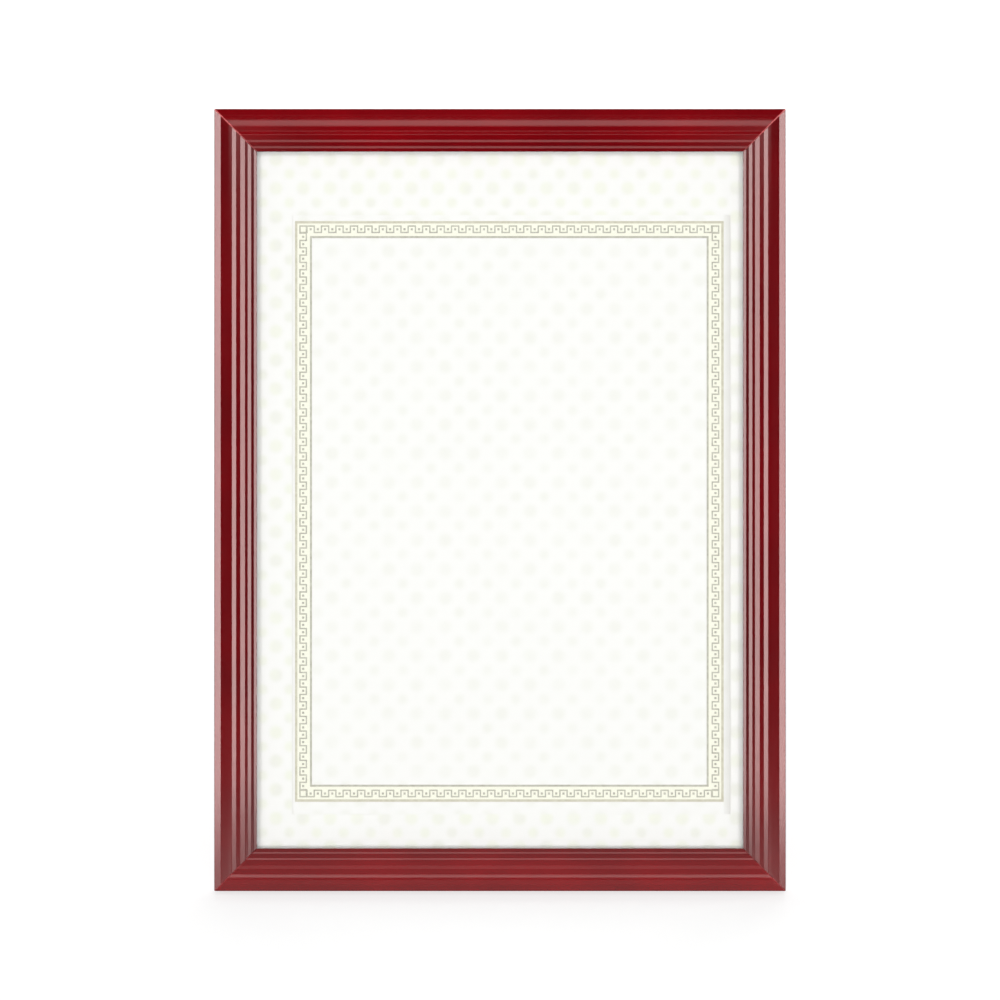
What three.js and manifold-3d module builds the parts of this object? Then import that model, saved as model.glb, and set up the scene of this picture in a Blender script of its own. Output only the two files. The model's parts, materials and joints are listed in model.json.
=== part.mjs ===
// A certificate frame for an A4 sheet. Four mitred lengths of a glossy moulding hold a glass pane, a
// certificate on a dotted sheet and a hardboard back. V nails join the mitres, turn buttons keep the back
// in, and the back carries a hanging ring and an easel leg on a hinge with a stop. It stands leaning back
// on the leg. Within the frame's own group x runs right, y runs from the front to the back, z runs up,
// and the middle of the mouldings' back plane is the origin.
import * as THREE from "three";
import { mergeVertices } from "three/addons/utils/BufferGeometryUtils.js";
import Module from "manifold-3d";

// All lengths are in millimetres and all angles in degrees.

// Clearance between pieces that rest on or pass through each other
const SEAT_GAP = 0.3;

// Picture and glazing
const SHEET_WIDTH = 210;
const SHEET_HEIGHT = 297;
const SHEET_THICKNESS = 0.3;
const SHEET_PLAY = 1;
const CERTIFICATE_WIDTH = 181.5;
const CERTIFICATE_HEIGHT = 248;
const CERTIFICATE_THICKNESS = 0.3;
const CERTIFICATE_RIGHT = 4.6;
const CERTIFICATE_DOWN = 6.1;
const GLASS_THICKNESS = 2;
const BACK_THICKNESS = 3;
const PANE_PLAY = 0.5;

// Moulding: how far its lip covers the sheet, and the lip's thickness at the sight edge
const SIGHT_COVER = 4.5;
const LIP_THICKNESS = 2.2;

// Face of the moulding: bevels climb from the sight edge to the crown, the lower ones with a tread above each
const SIGHT_BEVEL_WIDTH = 1.3;
const SIGHT_BEVEL_RISE = 0.8;
const LOW_TREAD_WIDTH = 0.9;
const LOW_TREAD_FALL = 0.03;
const LOW_BEVEL_WIDTH = 1.6;
const LOW_BEVEL_RISE = 1;
const MIDDLE_TREAD_WIDTH = 0.9;
const MIDDLE_TREAD_FALL = 0.03;
const MIDDLE_BEVEL_WIDTH = 2.1;
const MIDDLE_BEVEL_RISE = 1.3;
const HIGH_TREAD_WIDTH = 1.5;
const HIGH_TREAD_RISE = 0.1;
const HIGH_BEVEL_WIDTH = 1.9;
const HIGH_BEVEL_RISE = 1.2;
const CROWN_LEVEL_WIDTH = 2.25;
const CROWN_SLOPE_WIDTH = 2.25;
const CROWN_SLOPE_FALL = 0.48;
const CROWN_ROUNDING = 2;
const OUTER_BEVEL_WIDTH = 2.8;
const OUTER_BEVEL_FALL = 1.7;
const ARRIS_RADIUS = 0.15;
const OUTER_ARRIS_RADIUS = 0.3;

// V nails across the mitres, and how far each is set in from the outer edges
const NAIL_THICKNESS = 0.5;
const NAIL_LEG = 5;
const NAIL_DEPTH = 7;
const NAIL_OUTER_INSET = 3.5;
const NAIL_INNER_INSET = 8.5;

// Turn buttons, how far each is set in from the end of its side, and their screws
const BUTTON_THICKNESS = 1;
const BUTTON_HEAD_RADIUS = 4.5;
const BUTTON_TIP_RADIUS = 3;
const BUTTON_REACH = 13;
const BUTTON_TIP_LIFT = 0.9;
const BUTTON_TIP_RAMP = 2.5;
const RAIL_BUTTON_INSET = 48;
const STILE_BUTTON_INSET = 66.5;
const SCREW_SHANK_RADIUS = 1.4;
const SCREW_DEPTH = 5.5;
const SCREW_POINT = 1.6;
const SCREW_HEAD_RADIUS = 3;
const SCREW_HEAD_RIM = 0.5;
const SCREW_HEAD_HEIGHT = 1.8;
const SCREW_SLOT_LENGTH = 3.2;
const SCREW_SLOT_WIDTH = 0.7;
const SCREW_SLOT_DEPTH = 0.9;

// Rivets of the hinge and of the hanger
const RIVET_SHANK_RADIUS = 1.4;
const RIVET_HEAD_RADIUS = 2.8;
const RIVET_HEAD_HEIGHT = 1.1;

// Stance and easel leg
const LEAN = 14;
const LEG_OPENING = 23;
const HINGE_HEIGHT = 205;
const LEG_THICKNESS = 2.5;
const LEG_TOP_WIDTH = 42;
const LEG_FOOT_WIDTH = 66;
const LEG_TOP_RADIUS = 6;
const LEG_FOOT_RADIUS = 4;
const LEG_TOP_GAP = 1;

// Leg hinge
const HINGE_PIN_RADIUS = 1;
const HINGE_SHEET = 0.9;
const HINGE_WIDTH = 36;
const HINGE_LEAF_HEIGHT = 24;
const HINGE_CORNER_RADIUS = 5;
const HINGE_KNUCKLE_WIDTH = 14;
const HINGE_STOP_WIDTH = 10;
const HINGE_RIVET_SPREAD = 20;
const HINGE_RIVET_HEIGHT = 15;

// Hanging ring and its strap
const RING_BELOW_TOP = 26;
const RING_WIRE_RADIUS = 1;
const RING_WIDTH = 24;
const RING_DROP = 20;
const RING_CORNER = 3;
const RING_JOINT = 0.4;
const STRAP_SHEET = 0.8;
const STRAP_WIDTH = 9;
const STRAP_REACH = 12;
const STRAP_CORNER_RADIUS = 3;
const STRAP_RIVET_DROP = 7;

// Fineness of curved faces
const CURVE_SEGMENTS = 8;
const FACE_SEGMENTS = 4;
const ROUND_SEGMENTS = 16;
const DOME_STEPS = 4;
const RING_STEPS = 60;
const RING_SIDES = 5;

// Sizes that follow from the ones above
const FACE_BANDS = [
  { width: SIGHT_BEVEL_WIDTH, rise: SIGHT_BEVEL_RISE, rounding: ARRIS_RADIUS },
  { width: LOW_TREAD_WIDTH, rise: -LOW_TREAD_FALL, rounding: ARRIS_RADIUS },
  { width: LOW_BEVEL_WIDTH, rise: LOW_BEVEL_RISE, rounding: ARRIS_RADIUS },
  { width: MIDDLE_TREAD_WIDTH, rise: -MIDDLE_TREAD_FALL, rounding: ARRIS_RADIUS },
  { width: MIDDLE_BEVEL_WIDTH, rise: MIDDLE_BEVEL_RISE, rounding: ARRIS_RADIUS },
  { width: HIGH_TREAD_WIDTH, rise: HIGH_TREAD_RISE, rounding: ARRIS_RADIUS },
  { width: HIGH_BEVEL_WIDTH, rise: HIGH_BEVEL_RISE, rounding: ARRIS_RADIUS },
  { width: CROWN_LEVEL_WIDTH, rise: 0, rounding: CROWN_ROUNDING },
  { width: CROWN_SLOPE_WIDTH, rise: -CROWN_SLOPE_FALL, rounding: ARRIS_RADIUS },
  { width: OUTER_BEVEL_WIDTH, rise: -OUTER_BEVEL_FALL, rounding: OUTER_ARRIS_RADIUS },
];
const MOULDING_WIDTH = FACE_BANDS.reduce((sum, band) => sum + band.width, 0);
const RAIL_BACK_WIDTH = MOULDING_WIDTH - SIGHT_COVER - SHEET_PLAY;
const OUTER_WIDTH = SHEET_WIDTH + 2 * (MOULDING_WIDTH - SIGHT_COVER);
const OUTER_HEIGHT = SHEET_HEIGHT + 2 * (MOULDING_WIDTH - SIGHT_COVER);
const PANE_WIDTH = OUTER_WIDTH - 2 * (RAIL_BACK_WIDTH + PANE_PLAY);
const PANE_HEIGHT = OUTER_HEIGHT - 2 * (RAIL_BACK_WIDTH + PANE_PLAY);

// Fronts of the layers in the rebate, counted from the back plane towards the front
const BACK_FRONT = -BACK_THICKNESS;
const SHEET_FRONT = BACK_FRONT - SEAT_GAP - SHEET_THICKNESS;
const CERTIFICATE_FRONT = SHEET_FRONT - SEAT_GAP - CERTIFICATE_THICKNESS;
const GLASS_FRONT = CERTIFICATE_FRONT - SEAT_GAP - GLASS_THICKNESS;
const REBATE_DEPTH = SEAT_GAP - GLASS_FRONT;

const NAIL_INSETS = { outer: NAIL_OUTER_INSET, inner: NAIL_INNER_INSET };

const HINGE_BORE = HINGE_PIN_RADIUS + SEAT_GAP;
const KNUCKLE_RADIUS = HINGE_BORE + HINGE_SHEET;
const PIN_OFFSET = KNUCKLE_RADIUS + SEAT_GAP;
const STRAP_BORE = RING_WIRE_RADIUS + SEAT_GAP;
const STRAP_LOOP_RADIUS = STRAP_BORE + STRAP_SHEET;
const RIVET_HOLE_RADIUS = RIVET_SHANK_RADIUS + SEAT_GAP;

const lean = THREE.MathUtils.degToRad(LEAN);
const opening = THREE.MathUtils.degToRad(LEG_OPENING);
const PIN_ABOVE_TABLE = HINGE_HEIGHT * Math.cos(lean) - PIN_OFFSET * Math.sin(lean);

// The stop tongue meets the fixed leaf when the leg is fully open.
const STOP_REACH = (HINGE_BORE * (1 + Math.cos(opening)) - SEAT_GAP) / Math.sin(opening);

const X_AXIS = new THREE.Vector3(1, 0, 0);
const Y_AXIS = new THREE.Vector3(0, 1, 0);
const Z_AXIS = new THREE.Vector3(0, 0, 1);

const LACQUER = new THREE.MeshStandardMaterial({ color: "#7a0a15", roughness: 0.16, metalness: 0 });
const GLASS = new THREE.MeshStandardMaterial({
  color: "#eef4f2",
  roughness: 0.02,
  metalness: 0,
  transparent: true,
  opacity: 0.18,
});
const CERTIFICATE_PAPER = new THREE.MeshStandardMaterial({ color: "#fdfcf6", roughness: 0.7, metalness: 0 });
const DOTTED_PAPER = new THREE.MeshStandardMaterial({ color: "#f9faf1", roughness: 0.8, metalness: 0 });
const HARDBOARD = new THREE.MeshStandardMaterial({ color: "#6a4830", roughness: 0.75, metalness: 0 });
const ZINC = new THREE.MeshStandardMaterial({ color: "#b7bab9", roughness: 0.35, metalness: 1 });
const STEEL = new THREE.MeshStandardMaterial({ color: "#8d9092", roughness: 0.4, metalness: 1 });

const wasm = await Module();
wasm.setup();

function toSolid(geometry) {
  const bare = geometry.clone();
  bare.deleteAttribute("normal");
  bare.deleteAttribute("uv");
  const welded = mergeVertices(bare);
  const mesh = new wasm.Mesh({
    numProp: 3,
    vertProperties: welded.attributes.position.array,
    triVerts: new Uint32Array(welded.index.array),
  });
  return new wasm.Manifold(mesh);
}

function toGeometry(solid) {
  const mesh = solid.getMesh();
  const shared = new THREE.BufferGeometry();
  shared.setAttribute("position", new THREE.BufferAttribute(mesh.vertProperties, 3));
  shared.setIndex(new THREE.BufferAttribute(mesh.triVerts, 1));
  const geometry = shared.toNonIndexed();
  geometry.computeVertexNormals();
  return geometry;
}

function cut(geometry, tools) {
  return toGeometry(tools.reduce((solid, tool) => solid.subtract(toSolid(tool)), toSolid(geometry)));
}

function join(geometry, other) {
  return toGeometry(toSolid(geometry).add(toSolid(other)));
}

function common(geometry, other) {
  return toGeometry(toSolid(geometry).intersect(toSolid(other)));
}

// A plate parallel to the frame's back. Its outline is in x and z, and front is its front face's y.
function plate(outline, thickness, front) {
  const settings = { depth: thickness, bevelEnabled: false, curveSegments: CURVE_SEGMENTS };
  const geometry = new THREE.ExtrudeGeometry(outline, settings);
  return geometry.rotateX(Math.PI / 2).translate(0, front + thickness, 0);
}

// A section in y and z drawn out along x, centred on x = 0
function bar(section, length) {
  const settings = { depth: length, bevelEnabled: false, curveSegments: CURVE_SEGMENTS };
  const geometry = new THREE.ExtrudeGeometry(section, settings).translate(0, 0, -length / 2);
  return geometry.applyMatrix4(new THREE.Matrix4().makeBasis(Y_AXIS, Z_AXIS, X_AXIS));
}

// A round cutter along y through x, z
function drill(radius, x, z, from, to) {
  const cylinder = new THREE.CylinderGeometry(radius, radius, to - from, ROUND_SEGMENTS);
  return cylinder.translate(x, (from + to) / 2, z);
}

function rectangle(width, height) {
  const outline = new THREE.Shape();
  outline.moveTo(-width / 2, -height / 2);
  outline.lineTo(width / 2, -height / 2);
  outline.lineTo(width / 2, height / 2);
  outline.lineTo(-width / 2, height / 2);
  return outline;
}

// An outline from corners, each with its own radius
function roundedOutline(corners) {
  const outline = new THREE.Shape();
  corners.forEach(({ at, radius = 0 }, index) => {
    const before = corners[(index + corners.length - 1) % corners.length].at;
    const after = corners[(index + 1) % corners.length].at;
    const arrive = before.clone().sub(at).setLength(radius).add(at);
    const leave = after.clone().sub(at).setLength(radius).add(at);
    if (index === 0) {
      outline.moveTo(arrive.x, arrive.y);
    } else {
      outline.lineTo(arrive.x, arrive.y);
    }
    if (radius > 0) {
      outline.quadraticCurveTo(at.x, at.y, leave.x, leave.y);
    }
  });
  return outline;
}

// A strip seated on the -y side, with its end rolled round a bore on the x axis, running along +z
function rolledSection(bore, sheet, flat, reach) {
  const radius = bore + sheet;
  const top = flat - radius;
  const section = new THREE.Shape();
  section.moveTo(-radius, 0);
  section.lineTo(-radius, reach);
  section.lineTo(top, reach);
  section.lineTo(top, Math.sqrt(radius ** 2 - top ** 2));
  section.absarc(0, 0, radius, Math.acos(top / radius), -Math.PI, true);
  const hole = new THREE.Path();
  hole.absarc(0, 0, bore, 0, 2 * Math.PI, false);
  section.holes.push(hole);
  return section;
}

// A body turned about the y axis from points of radius and y, given from its low end to its high end
function turned(points) {
  return new THREE.LatheGeometry(points, ROUND_SEGMENTS);
}

function domePoints(radius, foot, height) {
  const points = [];
  for (let step = 0; step <= DOME_STEPS; step += 1) {
    const angle = (step / DOME_STEPS) * (Math.PI / 2);
    const across = step === DOME_STEPS ? 0 : radius * Math.cos(angle);
    points.push(new THREE.Vector2(across, foot + height * Math.sin(angle)));
  }
  return points;
}

function mesh(name, geometry, material) {
  const piece = new THREE.Mesh(geometry, material.clone());
  piece.name = name;
  return piece;
}

// Section of the moulding: x from the outer edge inwards, y from the back plane to the front
function mouldingSection() {
  let reach = 0;
  let height = REBATE_DEPTH + LIP_THICKNESS;
  const corners = [
    { at: new THREE.Vector2(0, 0) },
    { at: new THREE.Vector2(RAIL_BACK_WIDTH, 0) },
    { at: new THREE.Vector2(RAIL_BACK_WIDTH, REBATE_DEPTH) },
    { at: new THREE.Vector2(MOULDING_WIDTH, REBATE_DEPTH) },
    { at: new THREE.Vector2(MOULDING_WIDTH, height), radius: ARRIS_RADIUS },
  ];
  for (const { width, rise, rounding } of FACE_BANDS) {
    reach += width;
    height += rise;
    corners.push({ at: new THREE.Vector2(MOULDING_WIDTH - reach, height), radius: rounding });
  }
  return roundedOutline(corners);
}

// Chevron of a V nail at an outer corner of the frame, with an optional margin for its slot
function nailOutline(corner, inset, margin) {
  const near = inset - NAIL_THICKNESS / 2 - margin;
  const far = inset + NAIL_THICKNESS / 2 + margin;
  const tip = inset + NAIL_LEG + margin;
  const steps = [
    [near, near],
    [tip, near],
    [tip, far],
    [far, far],
    [far, tip],
    [near, tip],
  ];
  const points = steps.map(([across, up]) => {
    const x = corner.x - Math.sign(corner.x) * across;
    const z = corner.y - Math.sign(corner.y) * up;
    return new THREE.Vector2(x, z);
  });
  return new THREE.Shape(points);
}

// One mitred length, lying as the bottom rail does with its outer edge at z = -reach
function mouldingLength(length, reach, buttonSpread) {
  const settings = { depth: 1, bevelEnabled: false, curveSegments: FACE_SEGMENTS };
  const geometry = new THREE.ExtrudeGeometry(mouldingSection(), settings);
  const position = geometry.attributes.position;
  const mitreSetback = SEAT_GAP / Math.SQRT2;
  for (let index = 0; index < position.count; index += 1) {
    const halfLength = length / 2 - position.getX(index) - mitreSetback;
    position.setZ(index, position.getZ(index) > 0.5 ? halfLength : -halfLength);
  }
  const frontward = Y_AXIS.clone().negate();
  geometry.applyMatrix4(new THREE.Matrix4().makeBasis(Z_AXIS, frontward, X_AXIS));
  geometry.translate(0, 0, -reach);

  const cutters = [];
  for (const side of [-1, 1]) {
    const corner = new THREE.Vector2((side * length) / 2, -reach);
    for (const inset of Object.values(NAIL_INSETS)) {
      const slotDepth = NAIL_DEPTH + SEAT_GAP;
      cutters.push(plate(nailOutline(corner, inset, SEAT_GAP), 2 * slotDepth, -slotDepth));
    }
    const pilotRadius = SCREW_SHANK_RADIUS + SEAT_GAP;
    const pilotDepth = SCREW_DEPTH + SEAT_GAP;
    const pivot = -reach + RAIL_BACK_WIDTH / 2;
    cutters.push(drill(pilotRadius, (side * buttonSpread) / 2, pivot, -pilotDepth, pilotDepth));
  }
  return cut(geometry, cutters);
}

function vNails() {
  const nails = [];
  for (const [upName, up] of [["bottom", -1], ["top", 1]]) {
    for (const [sideName, side] of [["left", -1], ["right", 1]]) {
      const corner = new THREE.Vector2((side * OUTER_WIDTH) / 2, (up * OUTER_HEIGHT) / 2);
      for (const [rowName, inset] of Object.entries(NAIL_INSETS)) {
        const geometry = plate(nailOutline(corner, inset, 0), NAIL_DEPTH, -NAIL_DEPTH);
        nails.push(mesh(`v_nail_${upName}_${sideName}_${rowName}`, geometry, STEEL));
      }
    }
  }
  return nails;
}

// A pressed finger with its pivot on the y axis, pointing along +z, its tip cranked up for a fingertip
function turnButton() {
  const tangent = Math.acos((BUTTON_HEAD_RADIUS - BUTTON_TIP_RADIUS) / BUTTON_REACH);
  const quarter = Math.PI / 2;
  const outline = new THREE.Shape();
  outline.absarc(0, 0, BUTTON_HEAD_RADIUS, quarter + tangent, 5 * quarter - tangent, false);
  outline.absarc(0, BUTTON_REACH, BUTTON_TIP_RADIUS, quarter - tangent, quarter + tangent, false);

  const seat = SEAT_GAP;
  const top = seat + BUTTON_THICKNESS;
  const tail = -2 * BUTTON_HEAD_RADIUS;
  const rampEnd = BUTTON_REACH + BUTTON_TIP_RADIUS / 2;
  const rampStart = rampEnd - BUTTON_TIP_RAMP;
  const end = BUTTON_REACH + 2 * BUTTON_TIP_RADIUS;
  const section = new THREE.Shape();
  section.moveTo(seat, tail);
  section.lineTo(top, tail);
  section.lineTo(top, rampStart);
  section.lineTo(top + BUTTON_TIP_LIFT, rampEnd);
  section.lineTo(top + BUTTON_TIP_LIFT, end);
  section.lineTo(seat + BUTTON_TIP_LIFT, end);
  section.lineTo(seat + BUTTON_TIP_LIFT, rampEnd);
  section.lineTo(seat, rampStart);

  const blank = plate(outline, 2 * (top + BUTTON_TIP_LIFT), 0);
  const finger = common(blank, bar(section, 4 * BUTTON_HEAD_RADIUS));
  return cut(finger, [drill(SCREW_SHANK_RADIUS + SEAT_GAP, 0, 0, -top, 2 * top)]);
}

// Pan head screw of a turn button, on the y axis, with a cross recess
function buttonScrew() {
  const seat = BUTTON_THICKNESS + 2 * SEAT_GAP;
  const crown = seat + SCREW_HEAD_HEIGHT;
  const points = [
    new THREE.Vector2(0, -SCREW_DEPTH),
    new THREE.Vector2(SCREW_SHANK_RADIUS, SCREW_POINT - SCREW_DEPTH),
    new THREE.Vector2(SCREW_SHANK_RADIUS, seat),
    new THREE.Vector2(SCREW_HEAD_RADIUS, seat),
    ...domePoints(SCREW_HEAD_RADIUS, seat + SCREW_HEAD_RIM, SCREW_HEAD_HEIGHT - SCREW_HEAD_RIM),
  ];
  const depth = 2 * SCREW_SLOT_DEPTH;
  const slot = new THREE.BoxGeometry(SCREW_SLOT_LENGTH, depth, SCREW_SLOT_WIDTH).translate(0, crown, 0);
  const cross = new THREE.BoxGeometry(SCREW_SLOT_WIDTH, depth, SCREW_SLOT_LENGTH).translate(0, crown, 0);
  return cut(turned(points), [slot, cross]);
}

// Dome headed rivet on the y axis, from its blind end to the seat of its head
function rivet(end, seat) {
  const points = [
    new THREE.Vector2(0, end),
    new THREE.Vector2(RIVET_SHANK_RADIUS, end),
    new THREE.Vector2(RIVET_SHANK_RADIUS, seat),
    ...domePoints(RIVET_HEAD_RADIUS, seat, RIVET_HEAD_HEIGHT),
  ];
  return turned(points);
}

// A side of the frame lies as the bottom rail does and is then turned about y to its place.
function sides() {
  const rail = { length: OUTER_WIDTH, reach: OUTER_HEIGHT / 2, buttonInset: RAIL_BUTTON_INSET };
  const stile = { length: OUTER_HEIGHT, reach: OUTER_WIDTH / 2, buttonInset: STILE_BUTTON_INSET };
  return [
    { ...rail, name: "bottom_rail", turn: 0, buttons: ["bottom_left", "bottom_right"] },
    { ...stile, name: "left_stile", turn: 90, buttons: ["left_upper", "left_lower"] },
    { ...rail, name: "top_rail", turn: 180, buttons: ["top_right", "top_left"] },
    { ...stile, name: "right_stile", turn: 270, buttons: ["right_lower", "right_upper"] },
  ].map(({ name, length, reach, buttonInset, turn, buttons }) => {
    const spread = length - 2 * buttonInset;
    const side = new THREE.Group();
    side.add(mesh(name, mouldingLength(length, reach, spread), LACQUER));
    buttons.forEach((button, index) => {
      const pivot = new THREE.Group();
      pivot.add(mesh(`turn_button_${button}`, turnButton(), ZINC));
      pivot.add(mesh(`button_screw_${button}`, buttonScrew(), STEEL));
      pivot.position.set((index - 0.5) * spread, 0, -reach + RAIL_BACK_WIDTH / 2);
      side.add(pivot);
    });
    side.rotation.y = THREE.MathUtils.degToRad(turn);
    return side;
  });
}

function picture() {
  const certificate = plate(
    rectangle(CERTIFICATE_WIDTH, CERTIFICATE_HEIGHT),
    CERTIFICATE_THICKNESS,
    CERTIFICATE_FRONT,
  );
  certificate.translate(CERTIFICATE_RIGHT, 0, -CERTIFICATE_DOWN);
  const dotted = plate(rectangle(SHEET_WIDTH, SHEET_HEIGHT), SHEET_THICKNESS, SHEET_FRONT);
  const pane = plate(rectangle(PANE_WIDTH, PANE_HEIGHT), GLASS_THICKNESS, GLASS_FRONT);
  return [
    mesh("glass_pane", pane, GLASS),
    mesh("certificate_sheet", certificate, CERTIFICATE_PAPER),
    mesh("dotted_sheet", dotted, DOTTED_PAPER),
  ];
}

const hingeZ = HINGE_HEIGHT - OUTER_HEIGHT / 2;
const ringZ = OUTER_HEIGHT / 2 - RING_BELOW_TOP;
const hingeRivetSides = { left: -HINGE_RIVET_SPREAD / 2, right: HINGE_RIVET_SPREAD / 2 };

function backPanel() {
  const board = plate(rectangle(PANE_WIDTH, PANE_HEIGHT), BACK_THICKNESS, BACK_FRONT);
  const throughHole = (x, z) => drill(RIVET_HOLE_RADIUS, x, z, -2 * BACK_THICKNESS, BACK_THICKNESS);
  const holes = Object.values(hingeRivetSides).map((x) => throughHole(x, hingeZ + HINGE_RIVET_HEIGHT));
  holes.push(throughHole(0, ringZ - STRAP_RIVET_DROP));
  return mesh("back_panel", cut(board, holes), HARDBOARD);
}

// Leaf on the back panel, with two outer knuckles on the x axis
function fixedLeaf() {
  const half = HINGE_WIDTH / 2;
  const foot = -2 * KNUCKLE_RADIUS;
  const notch = HINGE_KNUCKLE_WIDTH / 2 + SEAT_GAP;
  const notchTop = KNUCKLE_RADIUS + SEAT_GAP;
  const blank = roundedOutline([
    { at: new THREE.Vector2(-half, foot) },
    { at: new THREE.Vector2(-notch, foot) },
    { at: new THREE.Vector2(-notch, notchTop) },
    { at: new THREE.Vector2(notch, notchTop) },
    { at: new THREE.Vector2(notch, foot) },
    { at: new THREE.Vector2(half, foot) },
    { at: new THREE.Vector2(half, HINGE_LEAF_HEIGHT), radius: HINGE_CORNER_RADIUS },
    { at: new THREE.Vector2(-half, HINGE_LEAF_HEIGHT), radius: HINGE_CORNER_RADIUS },
  ]);
  const strip = bar(rolledSection(HINGE_BORE, HINGE_SHEET, HINGE_SHEET, HINGE_LEAF_HEIGHT), HINGE_WIDTH);
  const leaf = common(strip, plate(blank, 4 * KNUCKLE_RADIUS, -2 * KNUCKLE_RADIUS));
  const reach = 2 * KNUCKLE_RADIUS;
  const holes = Object.values(hingeRivetSides).map((x) =>
    drill(RIVET_HOLE_RADIUS, x, HINGE_RIVET_HEIGHT, -reach, reach),
  );
  return cut(leaf, holes);
}

// Leaf on the leg, with the middle knuckle and the tongue that stops the leg
function movingLeaf() {
  const half = HINGE_WIDTH / 2;
  const head = 2 * KNUCKLE_RADIUS;
  const tab = HINGE_KNUCKLE_WIDTH / 2;
  const shoulder = -KNUCKLE_RADIUS - LEG_TOP_GAP;
  const blank = roundedOutline([
    { at: new THREE.Vector2(-half, -HINGE_LEAF_HEIGHT), radius: HINGE_CORNER_RADIUS },
    { at: new THREE.Vector2(half, -HINGE_LEAF_HEIGHT), radius: HINGE_CORNER_RADIUS },
    { at: new THREE.Vector2(half, shoulder) },
    { at: new THREE.Vector2(tab, shoulder) },
    { at: new THREE.Vector2(tab, head) },
    { at: new THREE.Vector2(-tab, head) },
    { at: new THREE.Vector2(-tab, shoulder) },
    { at: new THREE.Vector2(-half, shoulder) },
  ]);
  const strip = bar(rolledSection(HINGE_BORE, HINGE_SHEET, HINGE_SHEET, HINGE_LEAF_HEIGHT), HINGE_WIDTH);
  strip.rotateX(Math.PI);
  const leaf = common(strip, plate(blank, 4 * KNUCKLE_RADIUS, -2 * KNUCKLE_RADIUS));
  const tongue = plate(rectangle(HINGE_STOP_WIDTH, STOP_REACH), HINGE_SHEET, HINGE_BORE);
  tongue.translate(0, 0, STOP_REACH / 2);
  const reach = 2 * KNUCKLE_RADIUS;
  const holes = Object.values(hingeRivetSides).map((x) =>
    drill(RIVET_HOLE_RADIUS, x, -HINGE_RIVET_HEIGHT, -reach, reach),
  );
  return cut(join(leaf, tongue), holes);
}

// Tapered board that hangs from the pin on the x axis, its foot cut level with the table
function legBoard() {
  const top = -KNUCKLE_RADIUS - LEG_TOP_GAP;
  const standing = opening - lean;
  const foot = -PIN_ABOVE_TABLE / Math.cos(standing) - LEG_THICKNESS * Math.tan(standing);
  const outline = roundedOutline([
    { at: new THREE.Vector2(-LEG_FOOT_WIDTH / 2, foot), radius: LEG_FOOT_RADIUS },
    { at: new THREE.Vector2(LEG_FOOT_WIDTH / 2, foot), radius: LEG_FOOT_RADIUS },
    { at: new THREE.Vector2(LEG_TOP_WIDTH / 2, top), radius: LEG_TOP_RADIUS },
    { at: new THREE.Vector2(-LEG_TOP_WIDTH / 2, top), radius: LEG_TOP_RADIUS },
  ]);
  const outside = HINGE_BORE - SEAT_GAP;
  const board = plate(outline, LEG_THICKNESS, outside - LEG_THICKNESS);
  const tableSize = 2 * PIN_ABOVE_TABLE;
  const table = new THREE.BoxGeometry(tableSize, tableSize, tableSize);
  table.translate(0, 0, -PIN_ABOVE_TABLE - tableSize / 2);
  table.rotateX(-standing);
  const holes = Object.values(hingeRivetSides).map((x) =>
    drill(RIVET_HOLE_RADIUS, x, -HINGE_RIVET_HEIGHT, -2 * LEG_THICKNESS, 2 * LEG_THICKNESS),
  );
  return cut(board, [table, ...holes]);
}

// Hinge and leg about the pin's axis. The leg's own group is turned to its open place.
function easel() {
  const hinge = new THREE.Group();
  hinge.position.set(0, PIN_OFFSET, hingeZ);
  hinge.add(mesh("hinge_fixed_leaf", fixedLeaf(), ZINC));
  const pin = new THREE.CylinderGeometry(HINGE_PIN_RADIUS, HINGE_PIN_RADIUS, HINGE_WIDTH, ROUND_SEGMENTS);
  hinge.add(mesh("hinge_pin", pin.rotateZ(Math.PI / 2), STEEL));

  const leg = new THREE.Group();
  leg.rotation.x = opening;
  leg.add(mesh("easel_leg", legBoard(), HARDBOARD));
  leg.add(mesh("hinge_moving_leaf", movingLeaf(), ZINC));
  const legInside = HINGE_BORE - SEAT_GAP - LEG_THICKNESS;
  for (const [sideName, x] of Object.entries(hingeRivetSides)) {
    const panelRivet = rivet(-PIN_OFFSET - BACK_THICKNESS + SEAT_GAP, SEAT_GAP - HINGE_BORE);
    panelRivet.translate(x, 0, HINGE_RIVET_HEIGHT);
    hinge.add(mesh(`panel_rivet_${sideName}`, panelRivet, STEEL));
    const legRivet = rivet(legInside, KNUCKLE_RADIUS + SEAT_GAP);
    legRivet.translate(x, 0, -HINGE_RIVET_HEIGHT);
    leg.add(mesh(`leg_rivet_${sideName}`, legRivet, STEEL));
  }
  hinge.add(leg);
  return hinge;
}

// A folded strip whose loop holds the ring on the x axis, hanging down from it
function hangerStrap() {
  const half = STRAP_WIDTH / 2;
  const blank = roundedOutline([
    { at: new THREE.Vector2(-half, -STRAP_REACH), radius: STRAP_CORNER_RADIUS },
    { at: new THREE.Vector2(half, -STRAP_REACH), radius: STRAP_CORNER_RADIUS },
    { at: new THREE.Vector2(half, 2 * STRAP_LOOP_RADIUS) },
    { at: new THREE.Vector2(-half, 2 * STRAP_LOOP_RADIUS) },
  ]);
  const strip = bar(rolledSection(STRAP_BORE, STRAP_SHEET, 2 * STRAP_SHEET, STRAP_REACH), STRAP_WIDTH);
  strip.rotateY(Math.PI);
  const strap = common(strip, plate(blank, 4 * STRAP_LOOP_RADIUS, -2 * STRAP_LOOP_RADIUS));
  const reach = 2 * STRAP_LOOP_RADIUS;
  return cut(strap, [drill(RIVET_HOLE_RADIUS, 0, -STRAP_RIVET_DROP, -reach, reach)]);
}

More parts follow.
